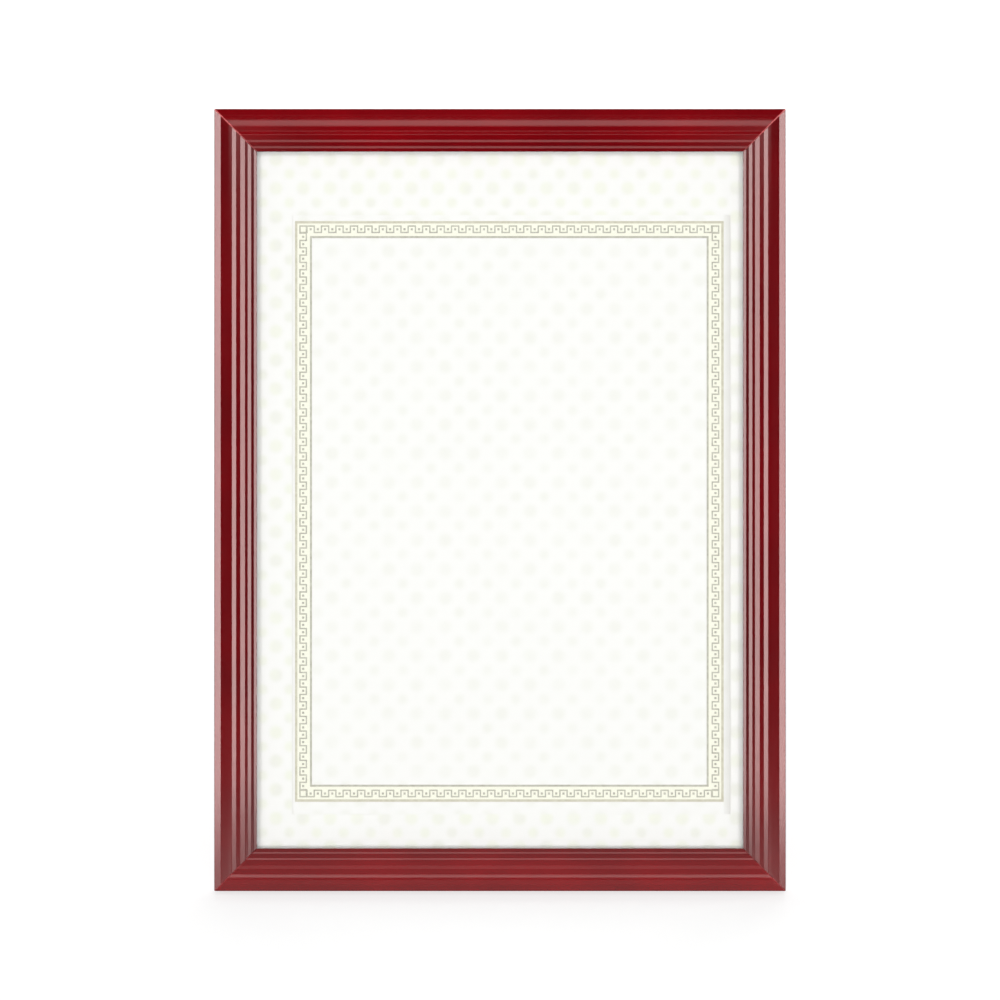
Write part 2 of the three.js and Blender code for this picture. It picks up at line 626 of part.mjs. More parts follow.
// A wire triangle hanging from the x axis, its ends meeting inside the strap's loop
function hangingRing() {
  const half = RING_WIDTH / 2;
  const corners = [
    new THREE.Vector3(half, 0, 0),
    new THREE.Vector3(0, 0, -RING_DROP),
    new THREE.Vector3(-half, 0, 0),
  ];
  const finish = new THREE.Vector3(-RING_JOINT / 2, 0, 0);
  const path = new THREE.CurvePath();
  let from = new THREE.Vector3(RING_JOINT / 2, 0, 0);
  corners.forEach((corner, index) => {
    const next = index === corners.length - 1 ? finish : corners[index + 1];
    const arrive = from.clone().sub(corner).setLength(RING_CORNER).add(corner);
    const leave = next.clone().sub(corner).setLength(RING_CORNER).add(corner);
    path.add(new THREE.LineCurve3(from, arrive));
    path.add(new THREE.QuadraticBezierCurve3(arrive, corner, leave));
    from = leave;
  });
  path.add(new THREE.LineCurve3(from, finish));
  const section = new THREE.Shape();
  section.absarc(0, 0, RING_WIRE_RADIUS, 0, 2 * Math.PI, false);
  const settings = { steps: RING_STEPS, extrudePath: path, bevelEnabled: false, curveSegments: RING_SIDES };
  return new THREE.ExtrudeGeometry(section, settings);
}

// Strap, rivet and ring about the ring's axis. The ring hangs plumb while the frame leans.
function hanger() {
  const loop = new THREE.Group();
  const loopOffset = STRAP_LOOP_RADIUS + SEAT_GAP;
  loop.position.set(0, loopOffset, ringZ);
  loop.add(mesh("hanger_strap", hangerStrap(), ZINC));
  const rivetSeat = 2 * STRAP_SHEET - STRAP_LOOP_RADIUS + SEAT_GAP;
  const strapRivet = rivet(-loopOffset - BACK_THICKNESS + SEAT_GAP, rivetSeat);
  strapRivet.translate(0, 0, -STRAP_RIVET_DROP);
  loop.add(mesh("strap_rivet", strapRivet, STEEL));
  const ring = mesh("hanging_ring", hangingRing(), ZINC);
  ring.rotation.x = lean;
  loop.add(ring);
  return loop;
}

// The frame leans back until the rear lower edge and the leg's foot both stand on the table.
const leaning = new THREE.Group();
leaning.add(...sides(), ...vNails(), ...picture(), backPanel(), easel(), hanger());
leaning.rotation.x = -lean;
leaning.position.z = (OUTER_HEIGHT / 2) * Math.cos(lean);

const certificateFrame = new THREE.Group();
certificateFrame.add(leaning);
const bounds = new THREE.Box3().setFromObject(certificateFrame, true);
leaning.position.y -= (bounds.min.y + bounds.max.y) / 2;
leaning.position.x -= (bounds.min.x + bounds.max.x) / 2;

export default certificateFrame;
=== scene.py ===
import json
import math
from types import SimpleNamespace

import bmesh
import bpy
from bpy.props import FloatProperty, FloatVectorProperty, PointerProperty
from mathutils import Matrix, Vector


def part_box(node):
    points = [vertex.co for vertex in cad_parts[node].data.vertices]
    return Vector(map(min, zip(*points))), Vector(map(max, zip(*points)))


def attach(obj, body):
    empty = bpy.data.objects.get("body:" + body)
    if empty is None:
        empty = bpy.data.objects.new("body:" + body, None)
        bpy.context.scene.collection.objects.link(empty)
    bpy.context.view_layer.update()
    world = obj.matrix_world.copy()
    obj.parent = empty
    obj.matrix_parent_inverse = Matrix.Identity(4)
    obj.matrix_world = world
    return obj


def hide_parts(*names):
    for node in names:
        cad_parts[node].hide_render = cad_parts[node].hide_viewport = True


bl_info = {
    "name": "Certificate Frame",
    "version": (1, 0, 0),
    "blender": (4, 5, 0),
    "location": "View3D > Sidebar > Certificate Frame",
    "description": "Dresses a glazed certificate frame with a stepped moulding and an easel back",
    "category": "Object",
}

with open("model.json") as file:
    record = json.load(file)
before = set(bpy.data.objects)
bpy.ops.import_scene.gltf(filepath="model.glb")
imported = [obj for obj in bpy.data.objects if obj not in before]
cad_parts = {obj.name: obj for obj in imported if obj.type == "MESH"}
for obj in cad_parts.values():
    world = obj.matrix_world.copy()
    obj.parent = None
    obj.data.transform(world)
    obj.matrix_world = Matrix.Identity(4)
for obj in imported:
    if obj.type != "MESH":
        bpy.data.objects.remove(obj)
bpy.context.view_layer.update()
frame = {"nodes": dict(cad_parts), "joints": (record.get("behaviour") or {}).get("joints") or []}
JOINTS = {joint["name"]: joint for joint in frame["joints"]}

MM = 0.001
SMOOTH_ANGLE = math.radians(38)
FLAG_BLACK = (0.004, 0.004, 0.004)
SIDE_TURNS = {"bottom": 0, "left": 90, "top": 180, "right": 270}
BUTTON_SPOTS = {name: name.removesuffix("_turn") for name in JOINTS if name.endswith("_turn")}

# The frame leans back: its own axes are x to the right, y to the back and z up along the stiles,
# from the middle of the mouldings' back plane.
BACKWARD = Vector(JOINTS["top_left_turn"]["axis"]).normalized()
LEAN = math.atan2(-BACKWARD.z, BACKWARD.y)
TILT = Matrix.Rotation(-LEAN, 4, "X")
PANEL_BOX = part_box("back_panel")
PANEL_THICKNESS = 3
ORIGIN = (PANEL_BOX[0] + PANEL_BOX[1]) / 2 + BACKWARD * PANEL_THICKNESS * MM / 2
LEANING = Matrix.Translation(ORIGIN) @ TILT
UPWARD = TILT @ Vector((0, 0, 1))

# Places on the prints in x and z, in millimetres: a dot of each sheet and the middle of the border.
SHEET_DOT = (-92.77, 140.95)
FIELD_DOT = (0.7, 7.3)
BORDER_MIDDLE = (3.85, -4.72)


def joint_place(name):
    return Matrix.Translation(Vector(JOINTS[name]["pos_m"]))


RING_PLACE = joint_place("ring_swing")
HINGE_PLACE = joint_place("leg_hinge") @ TILT
LEG_OPENING = -math.radians(JOINTS["leg_hinge"]["range_deg"][0])
LEG_PLACE = HINGE_PLACE @ Matrix.Rotation(LEG_OPENING, 4, "X")


def length(label, millimetres, description):
    return FloatProperty(
        name=label, description=description, default=millimetres * MM, min=0, precision=5, unit="LENGTH"
    )


def linear(channel):
    share = channel / 255
    return share / 12.92 if share <= 0.04045 else ((share + 0.055) / 1.055) ** 2.4


def colour(label, shade, description):
    return FloatVectorProperty(
        name=label,
        description=description,
        default=[linear(channel) for channel in shade],
        min=0,
        max=1,
        subtype="COLOR",
    )


class MouldingSizes(bpy.types.PropertyGroup):
    outer_width: length("Outer width", 236, "Width of the frame over its stiles")
    outer_height: length("Outer height", 323, "Height of the frame over its rails")
    back_width: length("Back width", 12, "Width of the moulding behind the rebate")
    rebate_depth: length("Rebate depth", 6.8, "Depth of the rebate from the back plane")
    lip_thickness: length("Lip thickness", 2.2, "Thickness of the lip at the sight edge")
    sight_bevel_width: length("Sight bevel width", 1.3, "Run of the bevel at the sight edge")
    sight_bevel_rise: length("Sight bevel rise", 0.8, "Climb of the bevel at the sight edge")
    low_tread_width: length("Low tread width", 0.9, "Run of the lowest tread")
    low_tread_fall: length("Low tread fall", 0.03, "Fall of the lowest tread")
    low_bevel_width: length("Low bevel width", 1.6, "Run of the low bevel")
    low_bevel_rise: length("Low bevel rise", 1, "Climb of the low bevel")
    middle_tread_width: length("Middle tread width", 0.9, "Run of the middle tread")
    middle_tread_fall: length("Middle tread fall", 0.03, "Fall of the middle tread")
    middle_bevel_width: length("Middle bevel width", 2.1, "Run of the middle bevel")
    middle_bevel_rise: length("Middle bevel rise", 1.3, "Climb of the middle bevel")
    high_tread_width: length("High tread width", 1.5, "Run of the highest tread")
    high_tread_rise: length("High tread rise", 0.1, "Climb of the highest tread")
    high_bevel_width: length("High bevel width", 1.9, "Run of the high bevel")
    high_bevel_rise: length("High bevel rise", 1.2, "Climb of the high bevel")
    crown_level_width: length("Crown level width", 2.25, "Run of the level part of the crown")
    crown_slope_width: length("Crown slope width", 2.25, "Run of the sloping part of the crown")
    crown_slope_fall: length("Crown slope fall", 0.48, "Fall of the crown towards the outer bevel")
    crown_rounding: length("Crown rounding", 2, "Rounding of the crown's ridge")
    outer_bevel_width: length("Outer bevel width", 2.8, "Run of the outer bevel")
    outer_bevel_fall: length("Outer bevel fall", 1.7, "Fall of the outer bevel")
    arris_radius: length("Arris radius", 0.15, "Rounding of the moulding's edges")
    outer_arris_radius: length("Outer arris radius", 0.3, "Rounding of the outer edge")
    mitre_gap: length("Mitre gap", 0.02, "Setback of each mitre from the joint's plane")
    mitre_edge: length("Mitre edge", 0.2, "Rounding of the edges along each mitre")
    nail_inset_outer: length("Outer nail inset", 3.5, "Inset of the outer V nails")
    nail_inset_inner: length("Inner nail inset", 8.5, "Inset of the inner V nails")
    nail_leg: length("Nail leg", 5, "Length of each leg of a V nail")
    nail_slot: length("Nail slot", 0.7, "Width of the slot round a V nail")
    nail_depth: length("Nail depth", 7.1, "Depth of the slot round a V nail")
    rail_button_inset: length("Rail button inset", 48, "Inset of a rail's turn buttons from its ends")
    stile_button_inset: length("Stile button inset", 66.5, "Inset of a stile's turn buttons from its ends")
    pilot_radius: length("Pilot radius", 1.5, "Radius of the holes for the button screws")
    pilot_depth: length("Pilot depth", 5.8, "Depth of the holes for the button screws")


class FittingSizes(bpy.types.PropertyGroup):
    clearance: length("Clearance", 0.3, "Clearance between pieces that rest on each other")
    panel_edge: length("Panel edge", 0.2, "Rounding of the back panel's edges")
    button_thickness: length("Button thickness", 1, "Sheet of a turn button")
    button_head_radius: length("Button head radius", 4.5, "Radius of a turn button at its screw")
    button_tip_radius: length("Button tip radius", 3, "Radius of a turn button at its tip")
    button_reach: length("Button reach", 13, "Distance from a turn button's screw to its tip's middle")
    button_tip_lift: length("Button tip lift", 0.9, "Height of the crank at a turn button's tip")
    button_tip_ramp: length("Button tip ramp", 2.5, "Run of the crank at a turn button's tip")
    button_edge: length("Button edge", 0.14, "Rounding of a turn button's edges")
    screw_shank_radius: length("Screw shank radius", 1.4, "Radius of a button screw's shank")
    screw_depth: length("Screw depth", 5.5, "Depth of a button screw in its rail")
    screw_head_radius: length("Screw head radius", 3, "Radius of a button screw's head")
    screw_head_height: length("Screw head height", 1.8, "Height of a button screw's head")
    recess_length: length("Recess length", 3.2, "Span of a screw's cross recess")
    recess_width: length("Recess width", 0.7, "Width of each arm of a screw's cross recess")
    recess_depth: length("Recess depth", 0.9, "Depth of a screw's cross recess")
    rivet_shank_radius: length("Rivet shank radius", 1.4, "Radius of a rivet's shank")
    rivet_head_radius: length("Rivet head radius", 2.8, "Radius of a rivet's head")
    rivet_head_height: length("Rivet head height", 1.1, "Height of a rivet's head")
    sheet_edge: length("Sheet edge", 0.12, "Rounding of the edges of the hinge's leaves and the strap")
    hinge_pin_radius: length("Hinge pin radius", 1, "Radius of the leg hinge's pin")
    hinge_sheet: length("Hinge sheet", 0.9, "Sheet of the leg hinge's leaves")
    hinge_width: length("Hinge width", 36, "Width of the leg hinge")
    hinge_leaf_height: length("Hinge leaf height", 24, "Height of each leaf of the leg hinge")
    hinge_corner_radius: length("Hinge corner radius", 5, "Rounding of the leaves' corners")
    hinge_knuckle_width: length("Hinge knuckle width", 14, "Width of the moving leaf's knuckle")
    hinge_stop_width: length("Hinge stop width", 10, "Width of the stop tongue")
    hinge_rivet_spread: length("Hinge rivet spread", 20, "Distance between the rivets of a leaf")
    hinge_rivet_height: length("Hinge rivet height", 15, "Distance from the pin to a leaf's rivets")
    leg_thickness: length("Leg thickness", 2.5, "Thickness of the easel leg")
    leg_top_gap: length("Leg top gap", 1, "Room between the knuckle and the leg's top")
    leg_edge: length("Leg edge", 0.35, "Rounding of the easel leg's edges")
    ring_wire_radius: length("Ring wire radius", 1, "Radius of the hanging ring's wire")
    ring_width: length("Ring width", 24, "Width of the hanging ring")
    ring_drop: length("Ring drop", 20, "Height of the hanging ring")
    ring_corner: length("Ring corner", 3, "Rounding of the hanging ring's corners")
    ring_joint: length("Ring joint", 0.4, "Gap between the hanging ring's ends")
    wire_edge: length("Wire edge", 0.15, "Rounding of the hanging ring's ends")
    strap_sheet: length("Strap sheet", 0.8, "Sheet of the hanger strap")
    strap_width: length("Strap width", 9, "Width of the hanger strap")
    strap_reach: length("Strap reach", 12, "Length of the hanger strap below the ring")
    strap_corner_radius: length("Strap corner radius", 3, "Rounding of the strap's corners")
    strap_rivet_drop: length("Strap rivet drop", 7, "Distance from the ring to the strap's rivet")


class PrintSizes(bpy.types.PropertyGroup):
    dot_pitch_across: length("Dot pitch across", 11.21, "Distance between the dots of a row")
    dot_pitch_down: length("Dot pitch down", 11.86, "Distance between rows of large dots")
    field_pitch_across: length("Field pitch across", 11.72, "Distance between the certificate's dots")
    field_pitch_down: length("Field pitch down", 11.97, "Distance between the certificate's rows")
    large_dot_radius: length("Large dot radius", 2.65, "Radius of the large dots")
    small_dot_radius: length("Small dot radius", 2.05, "Radius of the dots in the rows between")
    border_half_width: length("Border half width", 88.75, "Half the width of the printed border")
    border_half_height: length("Border half height", 120.2, "Half the height of the printed border")
    border_line: length("Border line", 1, "Width of the border's outer line")
    border_inner_line: length("Border inner line", 0.8, "Width of the border's inner line")
    border_width: length("Border width", 6.65, "Distance from the border's outer line to its inner one")
    key_start: length("Key start", 1.8, "Distance from the border's edge to the key pattern")
    key_width: length("Key width", 3.2, "Width of the key pattern")
    key_pitch: length("Key pitch", 6, "Length of one turn of the key pattern")
    key_stroke: length("Key stroke", 0.55, "Width of the key pattern's line")
    key_pellet: length("Key pellet", 0.9, "Side of the square pellet in each turn of the key pattern")


class FinishColours(bpy.types.PropertyGroup):
    lacquer: colour("Lacquer", (132, 6, 15), "Red of the moulding")
    lacquer_deep: colour("Deep lacquer", (117, 5, 13), "Deeper red in clouds over the moulding")
    # Painted shade on the stiles and the low steps, and the dark seams at the back of the mitres
    lacquer_shade_and_seam: colour("Dark lacquer", (52, 4, 8), "Darkest red, for stiles, low steps and seams")
    # Painted highlight along the front of the mitres
    lacquer_mitre_highlight: colour("Thin lacquer", (236, 120, 122), "Paler red where the lacquer is thin at the mitres")
    paper: colour("Paper", (252, 252, 249), "White of both sheets")
    dot: colour("Dot", (246, 248, 236), "Tint of the printed dots")
    dot_grey: colour("Grey dot", (243, 244, 236), "Greyer tint of the printed dots")
    border_cream: colour("Border cream", (252, 252, 236), "Ground of the printed border")
    border_beige: colour("Border beige", (204, 199, 177), "Outer line of the printed border")
    border_olive: colour("Border olive", (179, 176, 158), "Key pattern and inner line of the border")
    margin: colour("Margin", (228, 227, 222), "Shaded margin of the certificate")
    hardboard: colour("Hardboard", (112, 77, 50), "Brown of the back panel and the leg")
    hardboard_dark: colour("Dark hardboard", (76, 50, 31), "Darker fibres of the hardboard")
    hardboard_pale: colour("Pale hardboard", (148, 110, 76), "Paler fibres of the hardboard")
    zinc: colour("Zinc", (190, 193, 195), "Zinc plate of the sheet metal")
    zinc_dull: colour("Dull zinc", (158, 160, 158), "Duller crystals of the zinc plate")
    steel: colour("Steel", (172, 174, 177), "Bare steel of pins, screws and nails")


def in_millimetres(group):
    return SimpleNamespace(**{key: getattr(group, key) / MM for key in group.__annotations__})


class Tree:
    """Short calls that add and link the nodes of one tree."""

    def __init__(self, tree):
        self.tree = tree
        tree.nodes.clear()

    def feed(self, socket, value):
        if isinstance(value, bpy.types.NodeSocket):
            self.tree.links.new(value, socket)
        elif hasattr(socket.default_value, "__len__") and len(socket.default_value) == 4:
            socket.default_value = (*value[:3], 1)
        else:
            socket.default_value = value

    def add(self, kind, inputs=(), **settings):
        node = self.tree.nodes.new("ShaderNode" + kind)
        for key, value in settings.items():
            setattr(node, key, value)
        for key, value in dict(inputs).items():
            self.feed(node.inputs[key], value)
        return node

    def math(self, operation, *values):
        return self.add("Math", enumerate(values), operation=operation).outputs[0]

    def times(self, product, *others):
        for value in others:
            product = self.math("MULTIPLY", product, value)
        return product

    def within(self, value, middle, half):
        return self.math("COMPARE", value, middle, half)

    def choose(self, share, low, high):
        """A number from low to high."""
        return self.add("Mix", {0: share, 2: low, 3: high}).outputs[0]

    def mix(self, share, low, high):
        """A colour from low to high."""
        return self.add("Mix", {0: share, 6: low, 7: high}, data_type="RGBA").outputs[2]

    def spread(self, value, low, high, to_low=0.0, to_high=1.0):
        inputs = {0: value, 1: low, 2: high, 3: to_low, 4: to_high}
        return self.add("MapRange", inputs).outputs[0]

    def place(self, stretch=(1, 1, 1)):
        """Place on the piece in millimetres along the frame's own axes, divided by a stretch for each."""
        inputs = {
            "Vector": self.add("TexCoord").outputs["Object"],
            "Location": ORIGIN,
            "Rotation": (-LEAN, 0, 0),
            "Scale": [MM * share for share in stretch],
        }
        return self.add("Mapping", inputs, vector_type="TEXTURE").outputs[0]

    def axes(self, vector):
        return self.add("SeparateXYZ", {0: vector}).outputs

    def noise(self, place, size, detail=2.0):
        inputs = {"Vector": place, "Scale": 1 / size, "Detail": detail}
        return self.add("TexNoise", inputs).outputs[0]

    def bump(self, height, distance):
        inputs = {"Height": height, "Distance": distance * MM, "Strength": 1.0}
        return self.add("Bump", inputs).outputs[0]

    def shader(self, kind, inputs):
        return self.add(kind, inputs).outputs[0]

    def surface(self, kind, inputs):
        self.add("OutputMaterial", {"Surface": self.shader(kind, inputs)})


def finish(make):
    """The material that a function makes, made once and named after it."""
    material = bpy.data.materials.get(make.__name__)
    if not material:
        material = bpy.data.materials.new(make.__name__)
        material.use_nodes = True
        make(Tree(material.node_tree), bpy.context.scene.frame_colours)
    return material


def red_lacquer(tree, colours):
    """Gloss lacquer, matt at the back: painted shade on the stiles and low steps, a painted highlight along
    the mitres.
    """
    size = in_millimetres(bpy.context.scene.frame_moulding)
    place = tree.place()
    across, depth, up = tree.axes(place)
    from_side = tree.math("SUBTRACT", size.outer_width / 2, tree.math("ABSOLUTE", across))
    from_end = tree.math("SUBTRACT", size.outer_height / 2, tree.math("ABSOLUTE", up))
    past_mitre = tree.math("SUBTRACT", from_end, from_side)
    at_mitre = tree.spread(tree.math("ABSOLUTE", past_mitre), 0.42, 0.22)
    on_front = tree.spread(depth, -8, -10)
    on_back = tree.spread(depth, -0.5, -0.1)
    speck = tree.noise(place, 0.7)

    cloud = tree.spread(tree.noise(place, 35), 0.35, 0.65)
    red = tree.mix(cloud, colours.lacquer_deep, colours.lacquer)
    # Painted shade: the stiles darker than the rails, and the low steps darker towards the sight edge.
    painted_stile_shade = tree.spread(past_mitre, -0.01, 0.01, 0, 0.42)
    painted_sight_shade = tree.spread(tree.math("MINIMUM", from_side, from_end), 11.5, 15.5, 0, 0.28)
    red = tree.mix(tree.math("ADD", painted_stile_shade, painted_sight_shade), red, colours.lacquer_shade_and_seam)
    red = tree.mix(tree.times(at_mitre, on_back), red, colours.lacquer_shade_and_seam)

    # Painted highlight along the front of the mitres: stronger on the outer part and towards the top, uneven
    # along its length.
    outer_part = tree.spread(from_side, 17.5, 5.5, 0.4, 1)
    upper_part = tree.spread(up, -20, 20, 0.35, 1)
    uneven = tree.spread(speck, 0.3, 0.6, 0.5, 1)
    highlit = tree.times(at_mitre, outer_part, on_front, upper_part, uneven)
    gloss = tree.spread(speck, 0.3, 0.7, 0.09, 0.15)
    matt_back = 0.32
    inputs = {
        "Base Color": tree.mix(highlit, red, colours.lacquer_mitre_highlight),
        "Roughness": tree.math("MULTIPLY_ADD", on_back, matt_back, gloss),
        "IOR": 1.5,
        "Specular Tint": (1, 0.76, 0.74),
        "Normal": tree.bump(tree.noise(place, 6, 1), 0.008),
    }
    tree.surface("BsdfPrincipled", inputs)


def clear_glass(tree, colours):
    """Glass that lets the lamps' light through to the sheets."""
    inputs = {
        "Base Color": tree.mix(tree.noise(tree.place(), 60), (0.99, 1, 0.995), (1, 1, 1)),
        "Roughness": 0.0,
        "Transmission Weight": 1.0,
        "IOR": 1.5,
    }
    glass = tree.shader("BsdfPrincipled", inputs)
    path = tree.add("LightPath").outputs
    lamp_ray = tree.math("MAXIMUM", path["Is Shadow Ray"], path["Is Diffuse Ray"])
    clear = tree.shader("BsdfTransparent", {"Color": (0.98, 0.98, 0.98)})
    tree.surface("MixShader", {0: lamp_ray, 1: glass, 2: clear})


def printed_dots(tree, across, up, pitch, radius):
    """One where a dot of a square grid is printed, with soft edges."""
    blur = 0.8
    side = tree.math("WRAP", across, pitch[0] / 2, -pitch[0] / 2)
    rise = tree.math("WRAP", up, pitch[1] / 2, -pitch[1] / 2)
    distance = tree.math("SQRT", tree.math("MULTIPLY_ADD", side, side, tree.times(rise, rise)))
    return tree.spread(distance, radius + blur, radius - blur)


def staggered_dots(tree, axes, first, pitch, size):
    """One where a dot is printed, in rows of large dots with rows of small ones between them."""
    across = tree.math("SUBTRACT", axes[0], first[0])
    up = tree.math("SUBTRACT", axes[2], first[1])
    large = printed_dots(tree, across, up, pitch, size.large_dot_radius)
    half_across = tree.math("ADD", across, pitch[0] / 2)
    half_up = tree.math("ADD", up, pitch[1] / 2)
    small = printed_dots(tree, half_across, half_up, pitch, size.small_dot_radius)
    return tree.math("MAXIMUM", large, small)


def paper_surface(tree, place, print_colour):
    fibre = tree.noise(place, 0.35, 3)
    inputs = {
        "Base Color": print_colour,
        "Roughness": tree.spread(fibre, 0.3, 0.7, 0.72, 0.86),
        "Specular IOR Level": 0.3,
        "Normal": tree.bump(fibre, 0.0015),
    }
    tree.surface("BsdfPrincipled", inputs)


def dotted_print(tree, colours):
    size = in_millimetres(bpy.context.scene.frame_prints)
    place = tree.place()
    pitch = (size.dot_pitch_across, size.dot_pitch_down)
    dots = staggered_dots(tree, tree.axes(place), SHEET_DOT, pitch, size)
    tint = tree.mix(tree.spread(tree.noise(place, 9), 0.35, 0.55), colours.dot_grey, colours.dot)
    cloud = tree.spread(tree.noise(place, 14, 3), 0.3, 0.7, 0.75, 1)
    paper_surface(tree, place, tree.mix(tree.times(dots, cloud), colours.paper, tint))


def key_border(tree, across, up, size):
    """Masks of the border's ground, outer line, and key pattern with the inner line."""
    from_side = tree.math("SUBTRACT", size.border_half_width, tree.math("ABSOLUTE", across))
    from_end = tree.math("SUBTRACT", size.border_half_height, tree.math("ABSOLUTE", up))
    inward = tree.math("MINIMUM", from_side, from_end)
    upright = tree.math("LESS_THAN", from_side, from_end)
    key_end = size.key_start + size.key_width
    middle = size.key_start + size.key_width / 2

    # One turn of the key is one unit along the border: out in its first half, in in its second.
    runs = []
    for value, half in ((across, size.border_half_width), (up, size.border_half_height)):
        reach = half - key_end
        runs.append(tree.math("MULTIPLY", value, round(reach / size.key_pitch) / reach))
    along = tree.choose(upright, *runs)
    turn = tree.math("WRAP", along, 0.75, -0.25)
    half_stroke = size.key_stroke / 2
    share = half_stroke / size.key_pitch
    bars = tree.math("MAXIMUM", tree.within(turn, 0, share), tree.within(turn, 0.5, share))
    outer_run = tree.within(inward, size.key_start + half_stroke, half_stroke)
    inner_run = tree.within(inward, key_end - half_stroke, half_stroke)
    line = tree.math("MAXIMUM", bars, tree.choose(tree.within(turn, 0.25, 0.25), inner_run, outer_run))
    half_pellet = size.key_pellet / 2
    from_pellet = tree.math("PINGPONG", tree.math("ADD", along, 0.25), 0.25)
    pellet_along = tree.within(from_pellet, 0, half_pellet / size.key_pitch)
    pellets = tree.times(tree.within(inward, middle, half_pellet), pellet_along)
    key = tree.times(tree.within(inward, middle, size.key_width / 2), tree.math("MAXIMUM", line, pellets))

    squares = []
    for half in (size.key_width / 2, size.key_width / 2 - size.key_stroke):
        squares.append(tree.times(tree.within(from_side, middle, half), tree.within(from_end, middle, half)))
    at_corner = tree.math("LESS_THAN", tree.math("MAXIMUM", from_side, from_end), key_end)
    key = tree.choose(at_corner, key, tree.math("SUBTRACT", *squares))

    ground = tree.within(inward, size.border_width / 2, size.border_width / 2)
    outer_line = tree.within(inward, size.border_line / 2, size.border_line / 2)
    inner_line = tree.within(inward, size.border_width, size.border_inner_line / 2)
    return ground, outer_line, tree.math("MAXIMUM", key, inner_line)


def certificate_print(tree, colours):
    size = in_millimetres(bpy.context.scene.frame_prints)
    place = tree.place()
    axes = tree.axes(place)
    pitch = (size.field_pitch_across, size.field_pitch_down)
    dots = staggered_dots(tree, axes, FIELD_DOT, pitch, size)
    cloud = tree.spread(tree.noise(place, 12, 3), 0.35, 0.65, 0.3, 0.6)
    shade = tree.mix(tree.times(dots, cloud), colours.paper, colours.dot_grey)

    across = tree.math("SUBTRACT", axes[0], BORDER_MIDDLE[0])
    up = tree.math("SUBTRACT", axes[2], BORDER_MIDDLE[1])
    edge = size.border_half_width
    # Painted shade beside the border, darkening towards the sheet's left and right edges, wider and deeper on
    # the right.
    right_margin = tree.spread(across, edge, edge + 2.8, 0.2, 0.9)
    left_margin = tree.spread(across, -edge - 0.3, -edge - 1.5, 0, 0.7)
    margin = tree.choose(tree.math("GREATER_THAN", across, 0), left_margin, right_margin)
    in_margin = tree.math("GREATER_THAN", tree.math("ABSOLUTE", across), edge)
    shade = tree.mix(tree.times(margin, in_margin), shade, colours.margin)

    ground, outer_line, key = key_border(tree, across, up, size)
    ink = tree.spread(tree.noise(place, 1.6, 3), 0.3, 0.7, 0.7, 1)
    shade = tree.mix(ground, shade, colours.border_cream)
    shade = tree.mix(tree.times(outer_line, ink), shade, colours.border_beige)
    shade = tree.mix(tree.times(key, ink), shade, colours.border_olive)
    paper_surface(tree, place, shade)


def brown_board(tree, colours):
    """Pressed fibres that lie both ways, with darker cut edges."""
    place = tree.place()
    fibre, along, across = 0.9, 3.2, 0.35
    level_fibres = tree.noise(tree.place((along, 1, across)), fibre, 4)
    upright_fibres = tree.noise(tree.place((across, 1, along)), fibre, 4)
    strands = tree.math("MAXIMUM", level_fibres, upright_fibres)
    cloud = tree.spread(tree.noise(place, 18, 4), 0.3, 0.7, 0, 0.3)
    fleck = tree.spread(tree.noise(place, 0.8, 3), 0.58, 0.72, 0, 0.5)
    brown = tree.mix(tree.spread(strands, 0.42, 0.72), colours.hardboard_dark, colours.hardboard)
    brown = tree.mix(cloud, brown, colours.hardboard_pale)
    brown = tree.mix(fleck, brown, colours.hardboard_pale)
    normal = tree.add("TexCoord").outputs["Normal"]
    facing = tree.add("VectorMath", {0: normal, 1: BACKWARD}, operation="DOT_PRODUCT").outputs["Value"]
    cut_edge = tree.spread(tree.math("ABSOLUTE", facing), 0.85, 0.5, 0, 0.75)
    inputs = {
        "Base Color": tree.mix(cut_edge, brown, colours.hardboard_dark),
        "Roughness": tree.spread(strands, 0.35, 0.75, 0.5, 0.72),
        "Specular IOR Level": 0.4,
        "Normal": tree.bump(strands, 0.05),
    }
    tree.surface("BsdfPrincipled", inputs)


def metal_surface(tree, grey, grain, smooth, rough, grain_depth):
    inputs = {
        "Base Color": grey,
        "Metallic": 1.0,
        "Roughness": tree.spread(grain, 0.3, 0.7, smooth, rough),
        "Normal": tree.bump(grain, grain_depth),
    }
    tree.surface("BsdfPrincipled", inputs)


def bright_zinc(tree, colours):
    cells = tree.add("TexVoronoi", {"Vector": tree.place(), "Scale": 0.6}).outputs["Color"]
    crystal = tree.times(tree.add("SeparateColor", {0: cells}).outputs[0], 0.6)
    grey = tree.mix(crystal, colours.zinc, colours.zinc_dull)
    scratch = tree.noise(tree.place((1, 1, 0.06)), 3, 3)
    metal_surface(tree, grey, scratch, 0.24, 0.42, 0.006)


def drawn_steel(tree, colours):
    place = tree.place()
    cloud = tree.spread(tree.noise(place, 2.5, 3), 0.3, 0.7)
    grey = tree.mix(cloud, colours.steel, colours.zinc_dull)
    metal_surface(tree, grey, tree.noise(place, 0.25), 0.26, 0.4, 0.003)


SLOT_FINISHES = {"lacquered_moulding": red_lacquer, "zinc_plate": bright_zinc, "plain_steel": drawn_steel}


def rounded_path(corners):
    """Points along corners, each of them x, y and then its rounding and steps, if it has any."""
    points = []
    for index, (x, y, *round_off) in enumerate(corners):
        at = Vector((x, y))
        if not round_off:
            points.append(at)
            continue
        rounding, steps = round_off
        before = Vector(corners[index - 1][:2])
        after = Vector(corners[(index + 1) % len(corners)][:2])
        arrive = at + (before - at).normalized() * rounding
        leave = at + (after - at).normalized() * rounding
        for step in range(steps + 1):
            share = step / steps
            points.append(arrive * (1 - share) ** 2 + at * 2 * share * (1 - share) + leave * share**2)
    return points


